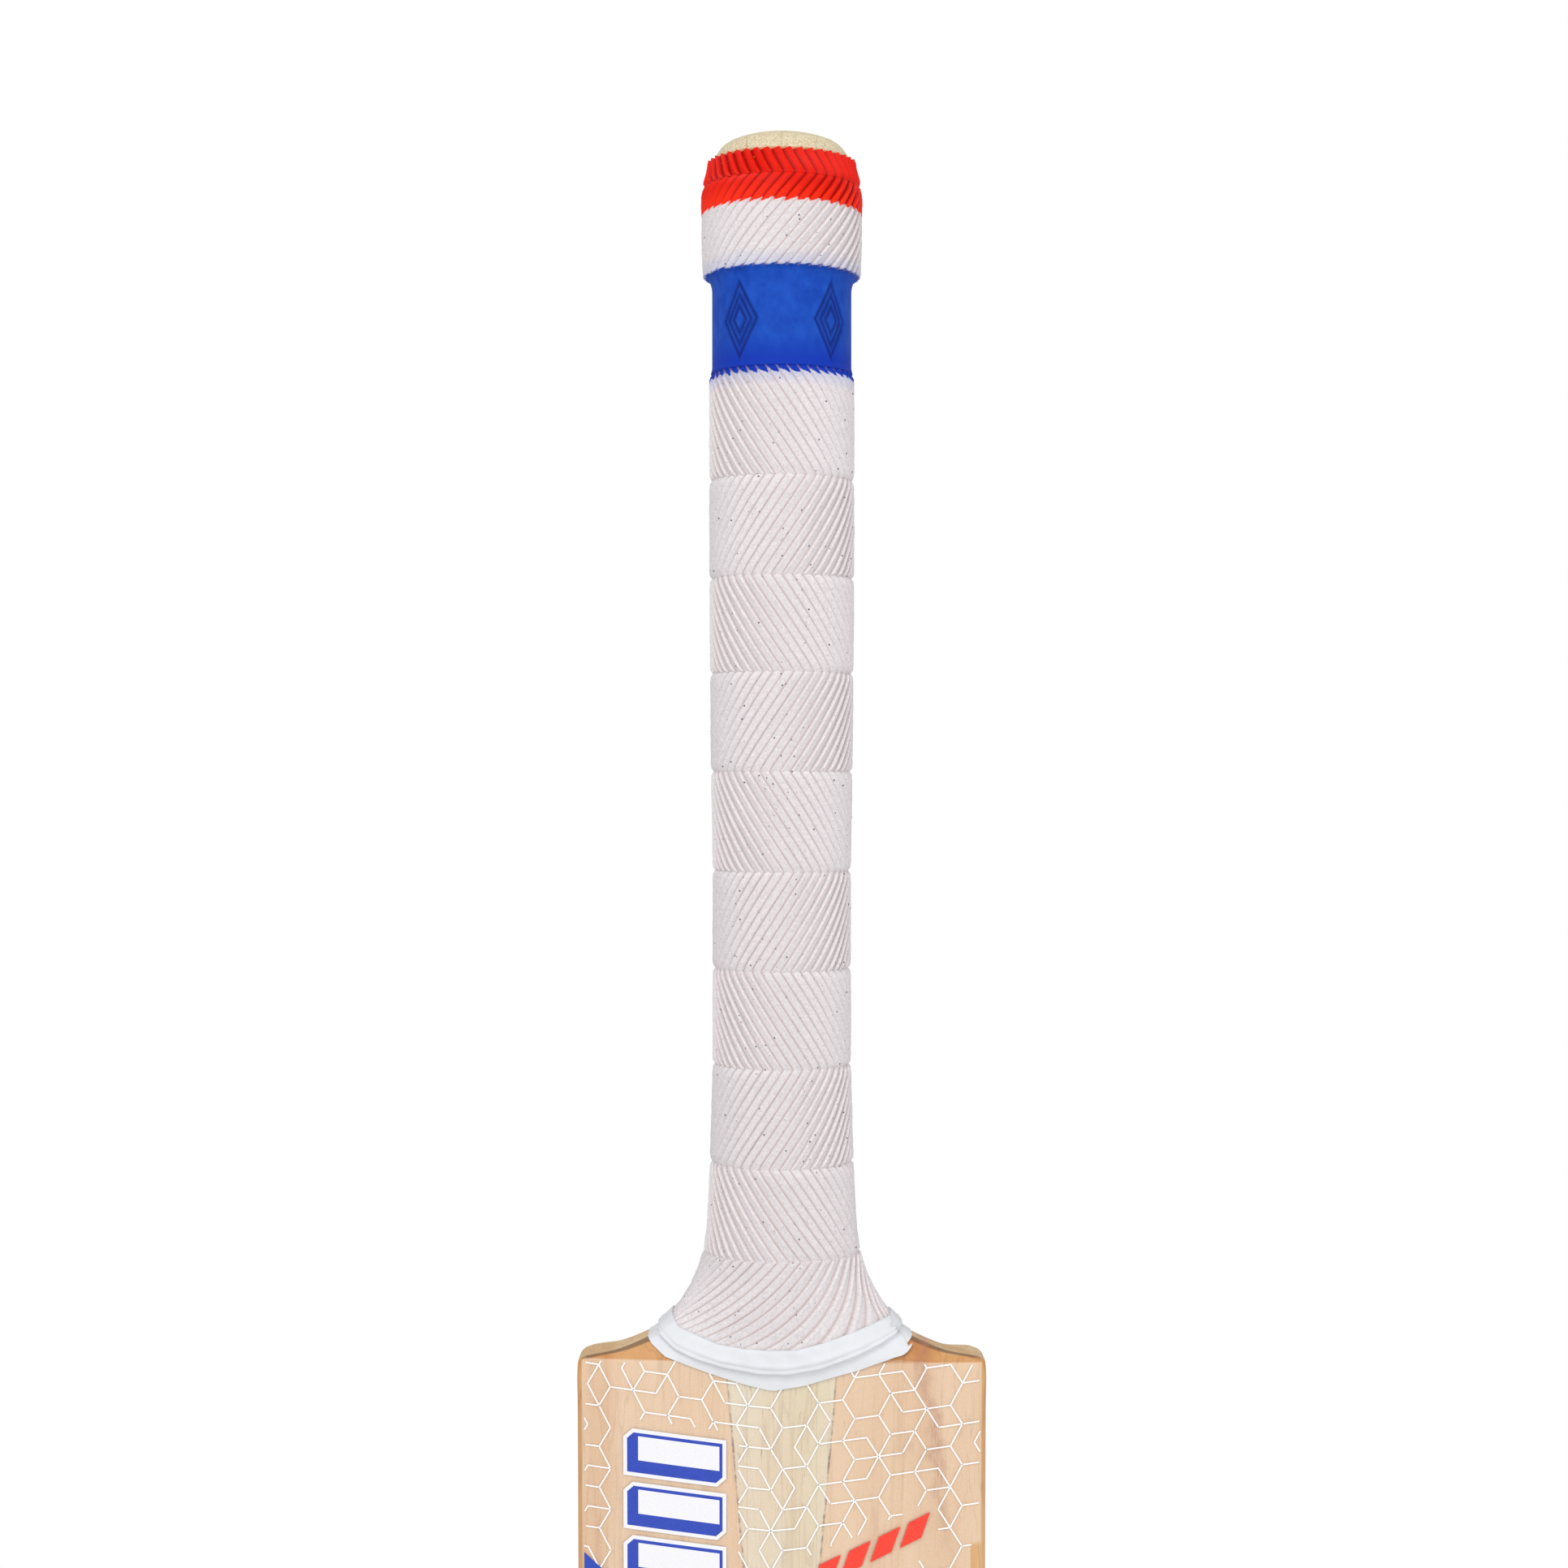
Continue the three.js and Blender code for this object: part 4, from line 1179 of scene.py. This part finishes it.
def add_slab(bm, left, right, top, height, fall, cut, lift, material, thick=0.1):
    """A slanted slab with its upper left and lower right corners cut off; fall is its drop to the right."""
    slope = fall / (right - left)
    base = top - height
    upper = piecewise([(left, top - cut), (left + cut, top - slope * cut), (right, top - fall)])
    lower = piecewise([(left, base), (right - cut, base - fall + slope * cut), (right, base - fall + cut)])
    xs = sorted([left + cut, right - cut] + list(np.linspace(left, right, 14)))
    add_rim(bm, add_strip(bm, xs, upper, lower, lift, material), thick, material)


def build_panel():
    """A column of slabs, each with a white border, a blue body and a white window."""
    bm = bmesh.new()
    top = 541.6
    while top > 195:
        add_slab(bm, -41.5, -14.5, top, 12.6, 3.2, 2.4, 0.62, 1, 0.3)
        add_slab(bm, -40.5, -15.5, top - 1.1, 10.6, 3.0, 1.7, 0.66, 2)
        add_slab(bm, -37.6, -16.3, top - 2.3, 6.4, 2.6, 0.01, 0.70, 1)
        top -= 14.2
    inks = [clear_film, white_ink, blue_ink]
    return finish_mesh("panel_bars", bm, inks, ["panel_sticker"], 30)


build_panel()


def build_flash():
    bm = bmesh.new()
    for k in range(4):
        x = 7.6 + k * 7.8
        base = 498.3 + 0.47 * (x - 7)
        outline = [(x, base), (x + 5.6, base + 2.7), (x + 7.9, base + 9.4), (x + 2.3, base + 6.7)]
        corners = [bm.verts.new(face_point(px, pz, 0.72)) for px, pz in outline]
        bm.faces.new(corners)
        add_rim(bm, corners, 0.25, 0)
    return finish_mesh("flash_bars", bm, [red_ink], ["flash_sticker"], 30)


build_flash()
build_toe_guard()

# ---- floor, light and camera ----------------------------------------------------------------------------
bpy.ops.mesh.primitive_circle_add(vertices=96, radius=1.3, fill_type="NGON", location=(0, 0, -0.0005))
floor = bpy.context.object
floor.name = "floor"
floor_shader = Shader("floor_paint")
floor_shader.set(Base_Color=(0.78, 0.78, 0.78, 1), Roughness=0.9)
floor.data.materials.append(floor_shader.material)

world = bpy.data.worlds.new("studio")
bpy.context.scene.world = world
world.use_nodes = True
tree = world.node_tree
tree.nodes.clear()
path = tree.nodes.new("ShaderNodeLightPath")
seen = tree.nodes.new("ShaderNodeBackground")
seen.inputs[0].default_value = (1, 1, 1, 1)
seen.inputs[1].default_value = 1.0
lit = tree.nodes.new("ShaderNodeBackground")
lit.inputs[0].default_value = (0.97, 0.98, 1.0, 1)
lit.inputs[1].default_value = 0.74
either = tree.nodes.new("ShaderNodeMixShader")
out = tree.nodes.new("ShaderNodeOutputWorld")
tree.links.new(path.outputs["Is Camera Ray"], either.inputs[0])
tree.links.new(lit.outputs[0], either.inputs[1])
tree.links.new(seen.outputs[0], either.inputs[2])
tree.links.new(either.outputs[0], out.inputs[0])


def area_light(name, place, aim, size, power):
    data = bpy.data.lights.new(name, "AREA")
    data.shape = "DISK"
    data.size = size
    data.energy = power
    light = bpy.data.objects.new(name, data)
    bpy.context.scene.collection.objects.link(light)
    light.location = place
    light.rotation_euler = (Vector(aim) - Vector(place)).to_track_quat("-Z", "Y").to_euler()


area_light("key", (-0.4, -1.3, 1.55), (0, 0, 0.65), 0.8, 10)
area_light("fill", (0.8, -1.3, 0.7), (0, 0, 0.6), 0.9, 4.5)

camera_data = bpy.data.cameras.new("camera")
camera_data.sensor_width = 36
camera_data.lens = 60.13
camera = bpy.data.objects.new("camera", camera_data)
bpy.context.scene.collection.objects.link(camera)
camera.location = (0.0006, -0.7 + HANDLE_Y / 1000, 0.71)
camera.rotation_euler = (math.radians(90), 0, 0)
bpy.context.scene.camera = camera
bpy.context.scene.view_settings.view_transform = "Standard"
